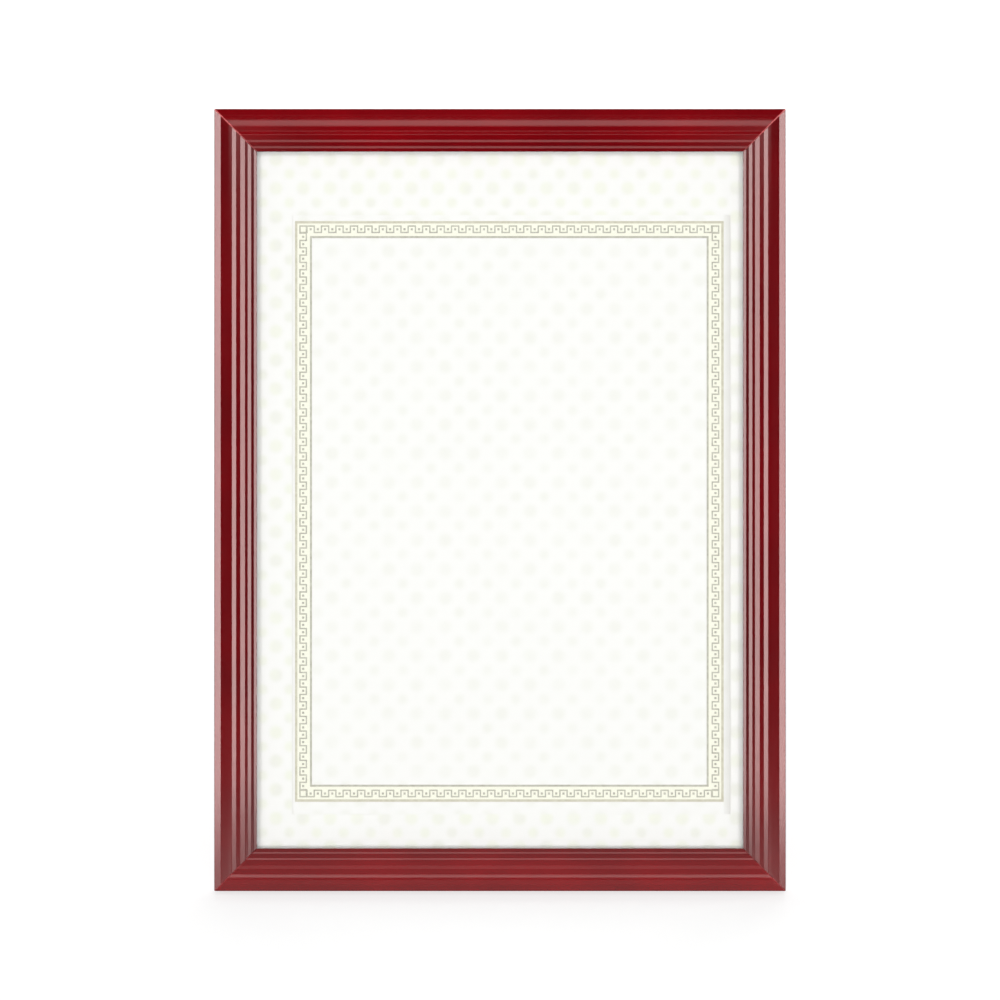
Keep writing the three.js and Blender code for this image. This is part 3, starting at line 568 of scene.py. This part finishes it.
def arc(radius, start, end, steps, middle=(0, 0)):
    angles = [math.radians(start + (end - start) * step / steps) for step in range(steps + 1)]
    return [Vector((middle[0] + radius * math.cos(a), middle[1] + radius * math.sin(a))) for a in angles]


def circle(radius, middle=(0, 0), steps=40):
    return arc(radius, 0, 360, steps, middle)[:-1]


def rectangle(left, right, low, high):
    return [(left, low), (right, low), (right, high), (left, high)]


def lofted(rings):
    """A closed solid through rings of points, flat at both ends."""
    solid = bmesh.new()
    loops = [[solid.verts.new(point) for point in ring] for ring in rings]
    solid.faces.new(loops[0])
    solid.faces.new(loops[-1][::-1])
    for low, high in zip(loops, loops[1:]):
        for index in range(len(low)):
            solid.faces.new((low[index - 1], low[index], high[index], high[index - 1]))
    bmesh.ops.recalc_face_normals(solid, faces=solid.faces)
    return solid


def plate(outline, front, thickness):
    """A plate parallel to the back. Its outline is in x and z, and front is its front face's y."""
    return lofted([[(x, y, z) for x, z in outline] for y in (front, front + thickness)])


def bar(section, width):
    """A section in y and z drawn out along x."""
    return lofted([[(x, y, z) for y, z in section] for x in (-width / 2, width / 2)])


def block(outline, low, high):
    """An outline in x and y drawn out from one height to another."""
    return lofted([[(x, y, z) for x, y in outline] for z in (low, high)])


def turned(profile):
    """A solid turned about the y axis from points of radius and y. Its first and last radius are zero."""
    steps = 48
    solid = bmesh.new()
    foot = solid.verts.new((0, profile[0][1], 0))
    head = solid.verts.new((0, profile[-1][1], 0))
    rings = []
    for radius, y in profile[1:-1]:
        rings.append([solid.verts.new((x, y, z)) for x, z in circle(radius, steps=steps)])
    for index in range(steps):
        solid.faces.new((foot, rings[0][index - 1], rings[0][index]))
        solid.faces.new((head, rings[-1][index], rings[-1][index - 1]))
        for low, high in zip(rings, rings[1:]):
            solid.faces.new((low[index - 1], low[index], high[index], high[index - 1]))
    bmesh.ops.recalc_face_normals(solid, faces=solid.faces)
    return solid


def to_mesh(solid, name="solid"):
    mesh = bpy.data.meshes.new(name)
    solid.to_mesh(mesh)
    solid.free()
    return mesh


def together(*solids):
    """One mesh of several solids that stay clear of each other."""
    whole = bmesh.new()
    for solid in solids:
        mesh = to_mesh(solid)
        whole.from_mesh(mesh)
        bpy.data.meshes.remove(mesh)
    return to_mesh(whole)


def carved(base, tool, operation="DIFFERENCE"):
    """Mesh of base after tool is taken from it, joined to it or laid over it. Both are used up."""
    blank = bpy.data.objects.new("blank", base)
    cutter = bpy.data.objects.new("cutter", tool)
    for piece in (blank, cutter):
        bpy.context.scene.collection.objects.link(piece)
    cut = blank.modifiers.new("cut", "BOOLEAN")
    cut.operation = operation
    cut.solver = "EXACT"
    cut.object = cutter
    bpy.context.view_layer.update()
    result = bpy.data.meshes.new_from_object(blank.evaluated_get(bpy.context.evaluated_depsgraph_get()))
    for piece in (blank, cutter):
        mesh = piece.data
        bpy.data.objects.remove(piece)
        bpy.data.meshes.remove(mesh)
    if not result.polygons:
        raise RuntimeError("A cut left nothing of the piece")
    return result


def soften(piece, width):
    """Rounds the sharp edges of a piece by a width in millimetres."""
    edges = piece.modifiers.new("edges", "BEVEL")
    edges.width = width * MM
    edges.segments = 2
    edges.limit_method = "ANGLE"
    edges.angle_limit = SMOOTH_ANGLE
    edges.use_clamp_overlap = False
    edges.harden_normals = True


def new_piece(name, mesh, place, body, slot, node, edge=0.0):
    """A piece in its place that stands for one CAD node. Its mesh is in millimetres until then."""
    mesh.transform(place @ Matrix.Scale(MM, 4))
    mesh.name = name
    mesh.materials.clear()
    mesh.materials.append(finish(SLOT_FINISHES[slot]))
    mesh.shade_smooth()
    mesh.set_sharp_from_angle(angle=SMOOTH_ANGLE)
    piece = bpy.data.objects.new(name, mesh)
    bpy.context.scene.collection.objects.link(piece)
    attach(piece, body)
    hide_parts(node)
    if edge:
        soften(piece, edge)
    return piece


def dress(node, make, edge=0.0):
    """Gives a CAD node its finish, and rounds its edges by a width in millimetres."""
    piece = frame["nodes"][node]
    piece.data.materials.clear()
    piece.data.materials.append(finish(make))
    if edge:
        weld = piece.modifiers.new("weld", "WELD")
        weld.merge_threshold = 1e-6
        soften(piece, edge)


def moulding_section(size):
    """Points of the moulding's section: from the outer edge inwards, and from the back plane to the front."""
    arris = (size.arris_radius, 4)
    bands = [
        (size.sight_bevel_width, size.sight_bevel_rise, arris),
        (size.low_tread_width, -size.low_tread_fall, arris),
        (size.low_bevel_width, size.low_bevel_rise, arris),
        (size.middle_tread_width, -size.middle_tread_fall, arris),
        (size.middle_bevel_width, size.middle_bevel_rise, arris),
        (size.high_tread_width, size.high_tread_rise, arris),
        (size.high_bevel_width, size.high_bevel_rise, arris),
        (size.crown_level_width, 0, (size.crown_rounding, 12)),
        (size.crown_slope_width, -size.crown_slope_fall, arris),
        (size.outer_bevel_width, -size.outer_bevel_fall, (size.outer_arris_radius, 6)),
    ]
    across = sum(band[0] for band in bands)
    height = size.rebate_depth + size.lip_thickness
    corners = [
        (0, 0),
        (size.back_width, 0),
        (size.back_width, size.rebate_depth),
        (across, size.rebate_depth),
        (across, height, *arris),
    ]
    for width, rise, rounding in bands:
        across -= width
        height += rise
        corners.append((across, height, *rounding))
    return rounded_path(corners)


def inward_normals(points):
    normals = []
    for index, point in enumerate(points):
        before = (point - points[index - 1]).normalized()
        after = (points[(index + 1) % len(points)] - point).normalized()
        run = (before + after).normalized()
        normals.append(Vector((-run.y, run.x)))
    return normals


def moulding_length(size, run, reach):
    """One mitred length, lying as the bottom rail does, with softly rounded edges along its mitres."""
    points = moulding_section(size)
    normals = inward_normals(points)
    angles = [math.radians(angle) for angle in (0, 30, 60, 90)]
    rings = []
    for end, edge_angles in ((-1, angles), (1, angles[::-1])):
        for angle in edge_angles:
            sink = size.mitre_edge * (1 - math.sin(angle))
            back = size.mitre_gap + math.sqrt(2) * size.mitre_edge * (1 - math.cos(angle))
            ring = []
            for point, normal in zip(points, normals):
                across, height = point + normal * sink
                ring.append((end * (run / 2 - back - across), -height, across - reach))
            rings.append(ring)
    return to_mesh(lofted(rings))


def moulding_cutters(size, run, reach, button_inset):
    """Slots for the V nails and holes for the button screws, as one mesh."""
    room = 0.1
    cutters = []
    for end in (-1, 1):
        for inset in (size.nail_inset_outer, size.nail_inset_inner):
            near = inset - size.nail_slot / 2
            far = inset + size.nail_slot / 2
            tip = inset + size.nail_leg + room
            steps = [(near, near), (tip, near), (tip, far), (far, far), (far, tip), (near, tip)]
            outline = [(end * (run / 2 - across), up - reach) for across, up in steps]
            cutters.append(plate(outline, -size.nail_depth, 2 * size.nail_depth))
        middle = (end * (run / 2 - button_inset), size.back_width / 2 - reach)
        hole = circle(size.pilot_radius, middle)
        cutters.append(plate(hole, -size.pilot_depth, 2 * size.pilot_depth))
    return together(*cutters)


class FRAME_OT_mouldings(bpy.types.Operator):
    """Make the two rails and the two stiles"""

    bl_idname = "certificate_frame.mouldings"
    bl_label = "Mouldings"

    def execute(self, context):
        size = in_millimetres(context.scene.frame_moulding)
        mouldings = bpy.data.collections.new("mouldings")
        low_moulding = bpy.data.collections.new("low_moulding")
        for side, turn in SIDE_TURNS.items():
            if side in ("top", "bottom"):
                node = f"{side}_rail"
                run, across, inset = size.outer_width, size.outer_height, size.rail_button_inset
            else:
                node = f"{side}_stile"
                run, across, inset = size.outer_height, size.outer_width, size.stile_button_inset
            mesh = moulding_length(size, run, across / 2)
            mesh = carved(mesh, moulding_cutters(size, run, across / 2, inset))
            place = LEANING @ Matrix.Rotation(math.radians(turn), 4, "Y")
            piece = new_piece(f"{node}_moulding", mesh, place, "frame", "lacquered_moulding", node)
            normals = piece.modifiers.new("normals", "WEIGHTED_NORMAL")
            normals.keep_sharp = True
            mouldings.objects.link(piece)
            if side == "bottom":
                low_moulding.objects.link(piece)
        return {"FINISHED"}


class FRAME_OT_corner_nails(bpy.types.Operator):
    """Finish the V nails across the mitres"""

    bl_idname = "certificate_frame.corner_nails"
    bl_label = "Corner nails"

    def execute(self, context):
        for up in ("top", "bottom"):
            for side in ("left", "right"):
                for row in ("outer", "inner"):
                    dress(f"v_nail_{up}_{side}_{row}", drawn_steel)
        return {"FINISHED"}


class FRAME_OT_glass(bpy.types.Operator):
    """Finish the glass pane"""

    bl_idname = "certificate_frame.glass"
    bl_label = "Glass pane"

    def execute(self, context):
        dress("glass_pane", clear_glass)
        return {"FINISHED"}


class FRAME_OT_certificate(bpy.types.Operator):
    """Print the certificate sheet with its key border"""

    bl_idname = "certificate_frame.certificate"
    bl_label = "Certificate sheet"

    def execute(self, context):
        dress("certificate_sheet", certificate_print)
        return {"FINISHED"}


class FRAME_OT_dotted_sheet(bpy.types.Operator):
    """Print the dotted sheet behind the certificate"""

    bl_idname = "certificate_frame.dotted_sheet"
    bl_label = "Dotted sheet"

    def execute(self, context):
        dress("dotted_sheet", dotted_print)
        return {"FINISHED"}


class FRAME_OT_boards(bpy.types.Operator):
    """Finish the back panel and the easel leg"""

    bl_idname = "certificate_frame.boards"
    bl_label = "Back panel and easel leg"

    def execute(self, context):
        size = in_millimetres(context.scene.frame_fittings)
        dress("back_panel", brown_board, size.panel_edge)
        dress("easel_leg", brown_board, size.leg_edge)
        return {"FINISHED"}


def rolled_strip(bore, sheet, flat, reach, width):
    """A strip on the -y side whose end rolls round the x axis. The strip runs along +z."""
    radius = bore + sheet
    top = flat - radius
    start = math.degrees(math.acos(top / radius))
    section = [(-radius, reach), (top, reach), *arc(radius, start, -180, 40)]
    return to_mesh(bar(section, width))


def cut_out(strip, corners, reach):
    """A strip cut to an outline in x and z."""
    return carved(strip, to_mesh(plate(rounded_path(corners), -reach, 2 * reach)), "INTERSECT")


def pierced(sheet, size, bore, width, rivets, reach):
    """A rolled sheet with its bore along x and its rivet holes at places in x and z."""
    room = 0.05
    hole = size.rivet_shank_radius + room
    holes = [plate(circle(hole, rivet), -reach, 2 * reach) for rivet in rivets]
    return carved(sheet, together(bar(circle(bore), 2 * width), *holes))


class FRAME_OT_leg_hinge(bpy.types.Operator):
    """Make the leg hinge's two leaves and its pin"""

    bl_idname = "certificate_frame.leg_hinge"
    bl_label = "Leg hinge"

    def execute(self, context):
        size = in_millimetres(context.scene.frame_fittings)
        width, end, sheet = size.hinge_width, size.hinge_leaf_height, size.hinge_sheet
        bore = size.hinge_pin_radius + size.clearance
        knuckle = bore + sheet
        reach = 2 * knuckle
        half = width / 2
        corner = (size.hinge_corner_radius, 10)
        rivets = [(side * size.hinge_rivet_spread / 2, size.hinge_rivet_height) for side in (-1, 1)]

        notch = size.hinge_knuckle_width / 2 + size.clearance
        notch_top = knuckle + size.clearance
        outline = [
            (-half, -reach),
            (-notch, -reach),
            (-notch, notch_top),
            (notch, notch_top),
            (notch, -reach),
            (half, -reach),
            (half, end, *corner),
            (-half, end, *corner),
        ]
        leaf = cut_out(rolled_strip(bore, sheet, sheet, end, width), outline, reach)
        leaf = pierced(leaf, size, bore, width, rivets, reach)
        new_piece("fixed_leaf", leaf, HINGE_PLACE, "frame", "zinc_plate", "hinge_fixed_leaf", size.sheet_edge)

        tab = size.hinge_knuckle_width / 2
        shoulder = -knuckle - size.leg_top_gap
        outline = [
            (-half, -end, *corner),
            (half, -end, *corner),
            (half, shoulder),
            (tab, shoulder),
            (tab, reach),
            (-tab, reach),
            (-tab, shoulder),
            (-half, shoulder),
        ]
        strip = rolled_strip(bore, sheet, sheet, end, width)
        strip.transform(Matrix.Rotation(math.pi, 4, "X"))
        leaf = cut_out(strip, outline, reach)
        tongue_reach = (bore * (1 + math.cos(LEG_OPENING)) - size.clearance) / math.sin(LEG_OPENING)
        tongue = rectangle(-size.hinge_stop_width / 2, size.hinge_stop_width / 2, 0, tongue_reach)
        leaf = carved(leaf, to_mesh(plate(tongue, bore, sheet)), "UNION")
        leaf = pierced(leaf, size, bore, width, [(x, -z) for x, z in rivets], reach)
        new_piece("moving_leaf", leaf, LEG_PLACE, "leg", "zinc_plate", "hinge_moving_leaf", size.sheet_edge)

        radius = size.hinge_pin_radius
        chamfer = 0.25
        profile = [(0, -half), (radius - chamfer, -half), (radius, chamfer - half)]
        profile += [(r, -y) for r, y in reversed(profile)]
        across = HINGE_PLACE @ Matrix.Rotation(-math.pi / 2, 4, "Z")
        new_piece("hinge_axle", to_mesh(turned(profile)), across, "frame", "plain_steel", "hinge_pin")
        return {"FINISHED"}


def dome(radius, foot, height, steps):
    """Points of a domed head from its rim to its top."""
    points = []
    for step in range(steps + 1):
        angle = math.radians(90 * step / steps)
        points.append((radius * math.cos(angle), foot + height * math.sin(angle)))
    points[-1] = (0, foot + height)
    return points


def rivet_mesh(size, end, seat):
    """A rivet on the y axis, from its shank's end to the seat of its domed head and beyond."""
    shank, head = size.rivet_shank_radius, size.rivet_head_radius
    rim = 0.15
    profile = [
        (0, end),
        (shank, end),
        (shank, seat),
        (head - rim, seat),
        *dome(head, seat + rim, size.rivet_head_height - rim, 10),
    ]
    return to_mesh(turned(profile))


def shifted(place, x, z):
    return place @ Matrix.Translation((x * MM, 0, z * MM))


class FRAME_OT_rivets(bpy.types.Operator):
    """Make the rivets of the leg hinge and of the hanger strap"""

    bl_idname = "certificate_frame.rivets"
    bl_label = "Rivets"

    def execute(self, context):
        size = in_millimetres(context.scene.frame_fittings)
        height = size.hinge_rivet_height
        bore = size.hinge_pin_radius + size.clearance
        above_leaf = bore + size.hinge_sheet + size.clearance
        panel_end = size.clearance - PANEL_THICKNESS
        leg_end = bore - size.clearance - size.leg_thickness
        for name, side in (("left", -1), ("right", 1)):
            x = side * size.hinge_rivet_spread / 2
            mesh = rivet_mesh(size, panel_end - above_leaf, size.clearance - bore)
            place = shifted(HINGE_PLACE, x, height)
            new_piece(f"panel_stud_{name}", mesh, place, "frame", "plain_steel", f"panel_rivet_{name}")
            mesh = rivet_mesh(size, leg_end, above_leaf)
            place = shifted(LEG_PLACE, x, -height)
            new_piece(f"leg_stud_{name}", mesh, place, "leg", "plain_steel", f"leg_rivet_{name}")

        loop = size.ring_wire_radius + size.clearance + size.strap_sheet
        seat = 2 * size.strap_sheet - loop + size.clearance
        mesh = rivet_mesh(size, panel_end - loop - size.clearance, seat)
        place = shifted(RING_PLACE @ TILT, 0, -size.strap_rivet_drop)
        new_piece("strap_stud", mesh, place, "frame", "plain_steel", "strap_rivet")
        return {"FINISHED"}


def wire(points, radius):
    """A round wire along points in x and z."""
    rings = []
    for index, point in enumerate(points):
        before = points[max(index - 1, 0)]
        after = points[min(index + 1, len(points) - 1)]
        run = (after - before).normalized()
        ring = []
        for across, out in circle(radius, steps=24):
            ring.append((point.x - run.y * across, out, point.y + run.x * across))
        rings.append(ring)
    return to_mesh(lofted(rings))


class FRAME_OT_hanger(bpy.types.Operator):
    """Make the hanging ring and its strap"""

    bl_idname = "certificate_frame.hanger"
    bl_label = "Hanger"

    def execute(self, context):
        size = in_millimetres(context.scene.frame_fittings)
        width, end, sheet = size.strap_width, size.strap_reach, size.strap_sheet
        bore = size.ring_wire_radius + size.clearance
        reach = 2 * (bore + sheet)
        half = width / 2
        corner = (size.strap_corner_radius, 10)
        outline = [(-half, -end, *corner), (half, -end, *corner), (half, reach), (-half, reach)]
        strip = rolled_strip(bore, sheet, 2 * sheet, end, width)
        strip.transform(Matrix.Scale(-1, 4, (0, 0, 1)))
        strip.flip_normals()
        strap = cut_out(strip, outline, reach)
        strap = pierced(strap, size, bore, width, [(0, -size.strap_rivet_drop)], reach)
        place = RING_PLACE @ TILT
        new_piece("ring_strap", strap, place, "frame", "zinc_plate", "hanger_strap", size.sheet_edge)

        half = size.ring_width / 2
        gap = size.ring_joint / 2
        bend = (size.ring_corner, 12)
        corners = [(gap, 0), (half, 0, *bend), (0, -size.ring_drop, *bend), (-half, 0, *bend), (-gap, 0)]
        ring = wire(rounded_path(corners), size.ring_wire_radius)
        new_piece("wire_ring", ring, RING_PLACE, "ring", "zinc_plate", "hanging_ring", size.wire_edge)
        return {"FINISHED"}


def button_mesh(size):
    """A pressed finger with its screw on the y axis, pointing along +z, its tip cranked up."""
    taper = math.degrees(math.acos((size.button_head_radius - size.button_tip_radius) / size.button_reach))
    head = arc(size.button_head_radius, 90 + taper, 450 - taper, 36)
    tip = arc(size.button_tip_radius, 90 - taper, 90 + taper, 24, (0, size.button_reach))
    seat = size.clearance
    top = seat + size.button_thickness
    lift = size.button_tip_lift
    tail = -2 * size.button_head_radius
    ramp_end = size.button_reach + size.button_tip_radius / 2
    ramp_start = ramp_end - size.button_tip_ramp
    end = size.button_reach + 2 * size.button_tip_radius
    bend = (0.8, 6)
    section = [
        (seat, tail),
        (top, tail),
        (top, ramp_start, *bend),
        (top + lift, ramp_end, *bend),
        (top + lift, end),
        (seat + lift, end),
        (seat + lift, ramp_end, *bend),
        (seat, ramp_start, *bend),
    ]
    finger = to_mesh(plate([*head, *tip], 0, 2 * (top + lift)))
    finger = carved(finger, to_mesh(bar(rounded_path(section), 4 * size.button_head_radius)), "INTERSECT")
    hole = circle(size.screw_shank_radius + size.clearance)
    return carved(finger, to_mesh(plate(hole, -top, 3 * top)))


class FRAME_OT_turn_buttons(bpy.types.Operator):
    """Make the eight turn buttons that keep the back in"""

    bl_idname = "certificate_frame.turn_buttons"
    bl_label = "Turn buttons"

    def execute(self, context):
        size = in_millimetres(context.scene.frame_fittings)
        finger = button_mesh(size)
        for joint, spot in BUTTON_SPOTS.items():
            turn = Matrix.Rotation(math.radians(SIDE_TURNS[spot.split("_")[0]]), 4, "Y")
            place = joint_place(joint) @ TILT @ turn
            body = JOINTS[joint]["child"]
            node = f"turn_button_{spot}"
            new_piece(f"finger_{spot}", finger.copy(), place, body, "zinc_plate", node, size.button_edge)
        bpy.data.meshes.remove(finger)
        return {"FINISHED"}


def screw_mesh(size):
    """A pan head screw on the y axis with a cross recess that narrows downwards."""
    shank, head = size.screw_shank_radius, size.screw_head_radius
    seat = size.button_thickness + 2 * size.clearance
    crown = seat + size.screw_head_height
    point, rim, edge = 1.6, 0.5, 0.15
    profile = [
        (0, -size.screw_depth),
        (shank, point - size.screw_depth),
        (shank, seat),
        (head - edge, seat),
        (head, seat + edge),
        *dome(head, seat + rim, size.screw_head_height - rim, 12),
    ]
    screw = to_mesh(turned(profile))

    half, half_width = size.recess_length / 2, size.recess_width / 2
    half_floor = 0.55 * half
    floor, mouth = crown - size.recess_depth, crown + 1
    section = [(-half, mouth), (-half_floor, floor), (half_floor, floor), (half, mouth)]
    for turn in (0, math.pi / 2):
        arm = to_mesh(block(section, -half_width, half_width))
        arm.transform(Matrix.Rotation(turn, 4, "Y"))
        screw = carved(screw, arm)
    return screw


class FRAME_OT_button_screws(bpy.types.Operator):
    """Make the pan head screws of the turn buttons"""

    bl_idname = "certificate_frame.button_screws"
    bl_label = "Button screws"

    def execute(self, context):
        screw = screw_mesh(in_millimetres(context.scene.frame_fittings))
        first_turn, next_turn = 0.6, 1.1
        for index, (joint, spot) in enumerate(BUTTON_SPOTS.items()):
            turn = Matrix.Rotation(first_turn + next_turn * index, 4, "Y")
            place = joint_place(joint) @ TILT @ turn
            node = f"button_screw_{spot}"
            new_piece(f"pan_screw_{spot}", screw.copy(), place, "frame", "plain_steel", node)
        bpy.data.meshes.remove(screw)
        return {"FINISHED"}


def seen_background(tree):
    """One for the rays of the camera, of gloss and of glass."""
    path = tree.add("LightPath").outputs
    seen = tree.math("MAXIMUM", path["Is Camera Ray"], path["Is Glossy Ray"])
    return tree.math("MAXIMUM", seen, path["Is Transmission Ray"])


def pale_floor(tree, colours):
    """Matt floor that looks white to the camera, more so away from the frame."""
    matt = tree.shader("BsdfDiffuse", {"Color": (0.35, 0.35, 0.35)})
    distance = tree.add("VectorMath", {0: tree.place()}, operation="LENGTH").outputs["Value"]
    lift = tree.times(seen_background(tree), tree.spread(distance, 300, 1600, 0.735, 0.96))
    glow = tree.shader("Emission", {"Color": (1, 1, 1), "Strength": lift})
    tree.surface("AddShader", {0: matt, 1: glow})


def black_flag(tree, colours):
    tree.surface("BsdfDiffuse", {"Color": FLAG_BLACK})


def soft_flag(tree, colours):
    """Black card that fades out towards its edges."""
    across, along, _ = tree.axes(tree.add("TexCoord").outputs["Generated"])
    inset = tree.math("MINIMUM", tree.math("PINGPONG", across, 0.5), tree.math("PINGPONG", along, 0.5))
    clear = tree.shader("BsdfTransparent", {"Color": (1, 1, 1)})
    black = tree.shader("BsdfDiffuse", {"Color": FLAG_BLACK})
    tree.surface("MixShader", {0: tree.spread(inset, 0, 0.3), 1: clear, 2: black})


def stage_piece(name, solid, make):
    mesh = to_mesh(solid, name)
    mesh.materials.append(finish(make))
    piece = bpy.data.objects.new(name, mesh)
    bpy.context.scene.collection.objects.link(piece)
    return piece


def flag(name, solid, make):
    """A black card that only reflections show."""
    piece = stage_piece(name, solid, make)
    piece.visible_camera = False
    piece.visible_diffuse = False
    piece.visible_transmission = False
    piece.visible_shadow = False


def panel_lamp(name, spot, width, height, radiance, lights, receivers="mouldings"):
    """A flat lamp aimed at the picture that lights colour, or the gloss of its receivers alone.

    Its spot is to the right, out in front and up along the frame, in metres.
    """
    right, out, up = spot
    ray = Vector((right, 0, 0)) - BACKWARD * out + UPWARD * up
    away = ray.normalized()
    across = UPWARD.cross(away).normalized()
    turn = Matrix((across, away.cross(across), away)).transposed()
    lamp = bpy.data.lights.new(name, "AREA")
    lamp.shape = "RECTANGLE"
    lamp.size = width
    lamp.size_y = height
    lamp.energy = radiance * math.pi * width * height
    piece = bpy.data.objects.new(name, lamp)
    bpy.context.scene.collection.objects.link(piece)
    piece.matrix_world = Matrix.Translation(ORIGIN + ray) @ turn.to_4x4()
    piece.visible_camera = False
    piece.visible_diffuse = lights == "colour"
    piece.visible_glossy = lights == "gloss"
    piece.visible_transmission = False
    if lights == "gloss":
        piece.light_linking.receiver_collection = bpy.data.collections[receivers]


class FRAME_OT_stage(bpy.types.Operator):
    """Set the floor, the lamps, the black flags, the backdrop and the camera"""

    bl_idname = "certificate_frame.stage"
    bl_label = "Stage"

    def execute(self, context):
        scene = context.scene
        scene.view_settings.view_transform = "Standard"

        stage_piece("floor", block(rectangle(-20, 20, -20, 20), -0.02, -0.0001), pale_floor)
        shell = bmesh.new()
        bmesh.ops.create_uvsphere(shell, u_segments=48, v_segments=24, radius=4.5)
        behind = [vert for vert in shell.verts if vert.co.y > 0.01]
        bmesh.ops.delete(shell, geom=behind, context="VERTS")
        flag("front_flag", shell, black_flag)
        flag("table_flag", block(rectangle(-0.17, 0.17, -0.52, -0.11), 0.002, 0.004), soft_flag)

        card = ((0.55, 0.5), (1.1, 0.15), (1.12, 0.17), (0.57, 0.52))
        for side in (-1, 1):
            flag(f"back_flag_{side + 1}", block([(side * x, y) for x, y in card], 0.01, 1.21), black_flag)
            panel_lamp(f"strip_{side + 1}", (1.426 * side, 0.726, 0.065), 0.34, 0.58, 11, "gloss")
            panel_lamp(f"strip_foot_{side + 1}", (1.426 * side, 0.726, -0.285), 0.34, 0.12, 2.7, "gloss")
            panel_lamp(f"side_key_{side + 1}", (2.4 * side, -0.4, 0.5), 1, 1, 7, "colour")
            panel_lamp(f"front_key_{side + 1}", (side, 2.7, 0.1), 0.7, 1.4, 6.85, "colour")
            panel_lamp(f"corner_panel_{side + 1}", (0.91 * side, 2.6, -0.405), 1.38, 0.18, 2.5, "gloss")
        panel_lamp("upper_panel", (0, 2.6, 0.63), 0.9, 0.62, 2.5, "gloss")
        panel_lamp("lower_panel", (0, 2.6, -0.376), 0.9, 0.128, 1.6, "gloss")
        panel_lamp("foot_panel", (0, 2.6, -0.555), 0.9, 0.23, 3.4, "gloss")
        panel_lamp("tread_panel", (0, 2.6, 0.03), 0.9, 0.16, 1.7, "gloss", "low_moulding")
        panel_lamp("overhead_panel", (0, 0.8, 1.24), 0.9, 0.4, 0.75, "gloss")
        panel_lamp("upper_key", (0, 2.7, 1), 1.4, 0.7, 6, "colour")
        panel_lamp("lower_key", (0, 2.2, -0.5), 1.4, 0.26, 12.5, "colour")
        panel_lamp("back_key", (0.6, -2.3, 0.6), 1.2, 1.2, 10, "colour")
        panel_lamp("top_key", (0, -0.6, 2.4), 1, 1, 7, "colour")

        world = bpy.data.worlds.new("studio")
        world.use_nodes = True
        scene.world = world
        tree = Tree(world.node_tree)
        strength = tree.spread(seen_background(tree), 0, 1, 0.12, 1)
        sky = tree.shader("Background", {"Color": (1, 1, 1), "Strength": strength})
        tree.add("OutputWorld", {"Surface": sky})

        camera = bpy.data.cameras.new("camera")
        camera.lens = 200
        camera.clip_end = 100
        view_width, view_plane = 0.4129, 0.011
        distance = view_width * camera.lens / camera.sensor_width
        piece = bpy.data.objects.new("camera", camera)
        scene.collection.objects.link(piece)
        piece.location = ORIGIN - BACKWARD * (view_plane + distance)
        piece.rotation_euler = (math.pi / 2 - LEAN, 0, 0)
        scene.camera = piece
        return {"FINISHED"}


PIECE_OPERATORS = (
    FRAME_OT_mouldings,
    FRAME_OT_corner_nails,
    FRAME_OT_glass,
    FRAME_OT_certificate,
    FRAME_OT_dotted_sheet,
    FRAME_OT_boards,
    FRAME_OT_leg_hinge,
    FRAME_OT_rivets,
    FRAME_OT_hanger,
    FRAME_OT_turn_buttons,
    FRAME_OT_button_screws,
    FRAME_OT_stage,
)


class FRAME_PT_pieces(bpy.types.Panel):
    """Lists the pieces of the frame"""

    bl_idname = "FRAME_PT_pieces"
    bl_label = "Certificate Frame"
    bl_space_type = "VIEW_3D"
    bl_region_type = "UI"
    bl_category = "Certificate Frame"

    def draw(self, context):
        for operator in PIECE_OPERATORS:
            self.layout.operator(operator.bl_idname)


SETTINGS = {
    "frame_moulding": MouldingSizes,
    "frame_fittings": FittingSizes,
    "frame_prints": PrintSizes,
    "frame_colours": FinishColours,
}


def register():
    for name, group in SETTINGS.items():
        bpy.utils.register_class(group)
        setattr(bpy.types.Scene, name, PointerProperty(type=group))
    for operator in PIECE_OPERATORS:
        bpy.utils.register_class(operator)
    bpy.utils.register_class(FRAME_PT_pieces)


def unregister():
    bpy.utils.unregister_class(FRAME_PT_pieces)
    for operator in reversed(PIECE_OPERATORS):
        bpy.utils.unregister_class(operator)
    for name, group in SETTINGS.items():
        delattr(bpy.types.Scene, name)
        bpy.utils.unregister_class(group)


def main():
    register()
    bpy.ops.certificate_frame.mouldings()
    bpy.ops.certificate_frame.corner_nails()
    bpy.ops.certificate_frame.glass()
    bpy.ops.certificate_frame.certificate()
    bpy.ops.certificate_frame.dotted_sheet()
    bpy.ops.certificate_frame.boards()
    bpy.ops.certificate_frame.leg_hinge()
    bpy.ops.certificate_frame.rivets()
    bpy.ops.certificate_frame.hanger()
    bpy.ops.certificate_frame.turn_buttons()
    bpy.ops.certificate_frame.button_screws()
    bpy.ops.certificate_frame.stage()


if __name__ == "__main__":
    main()
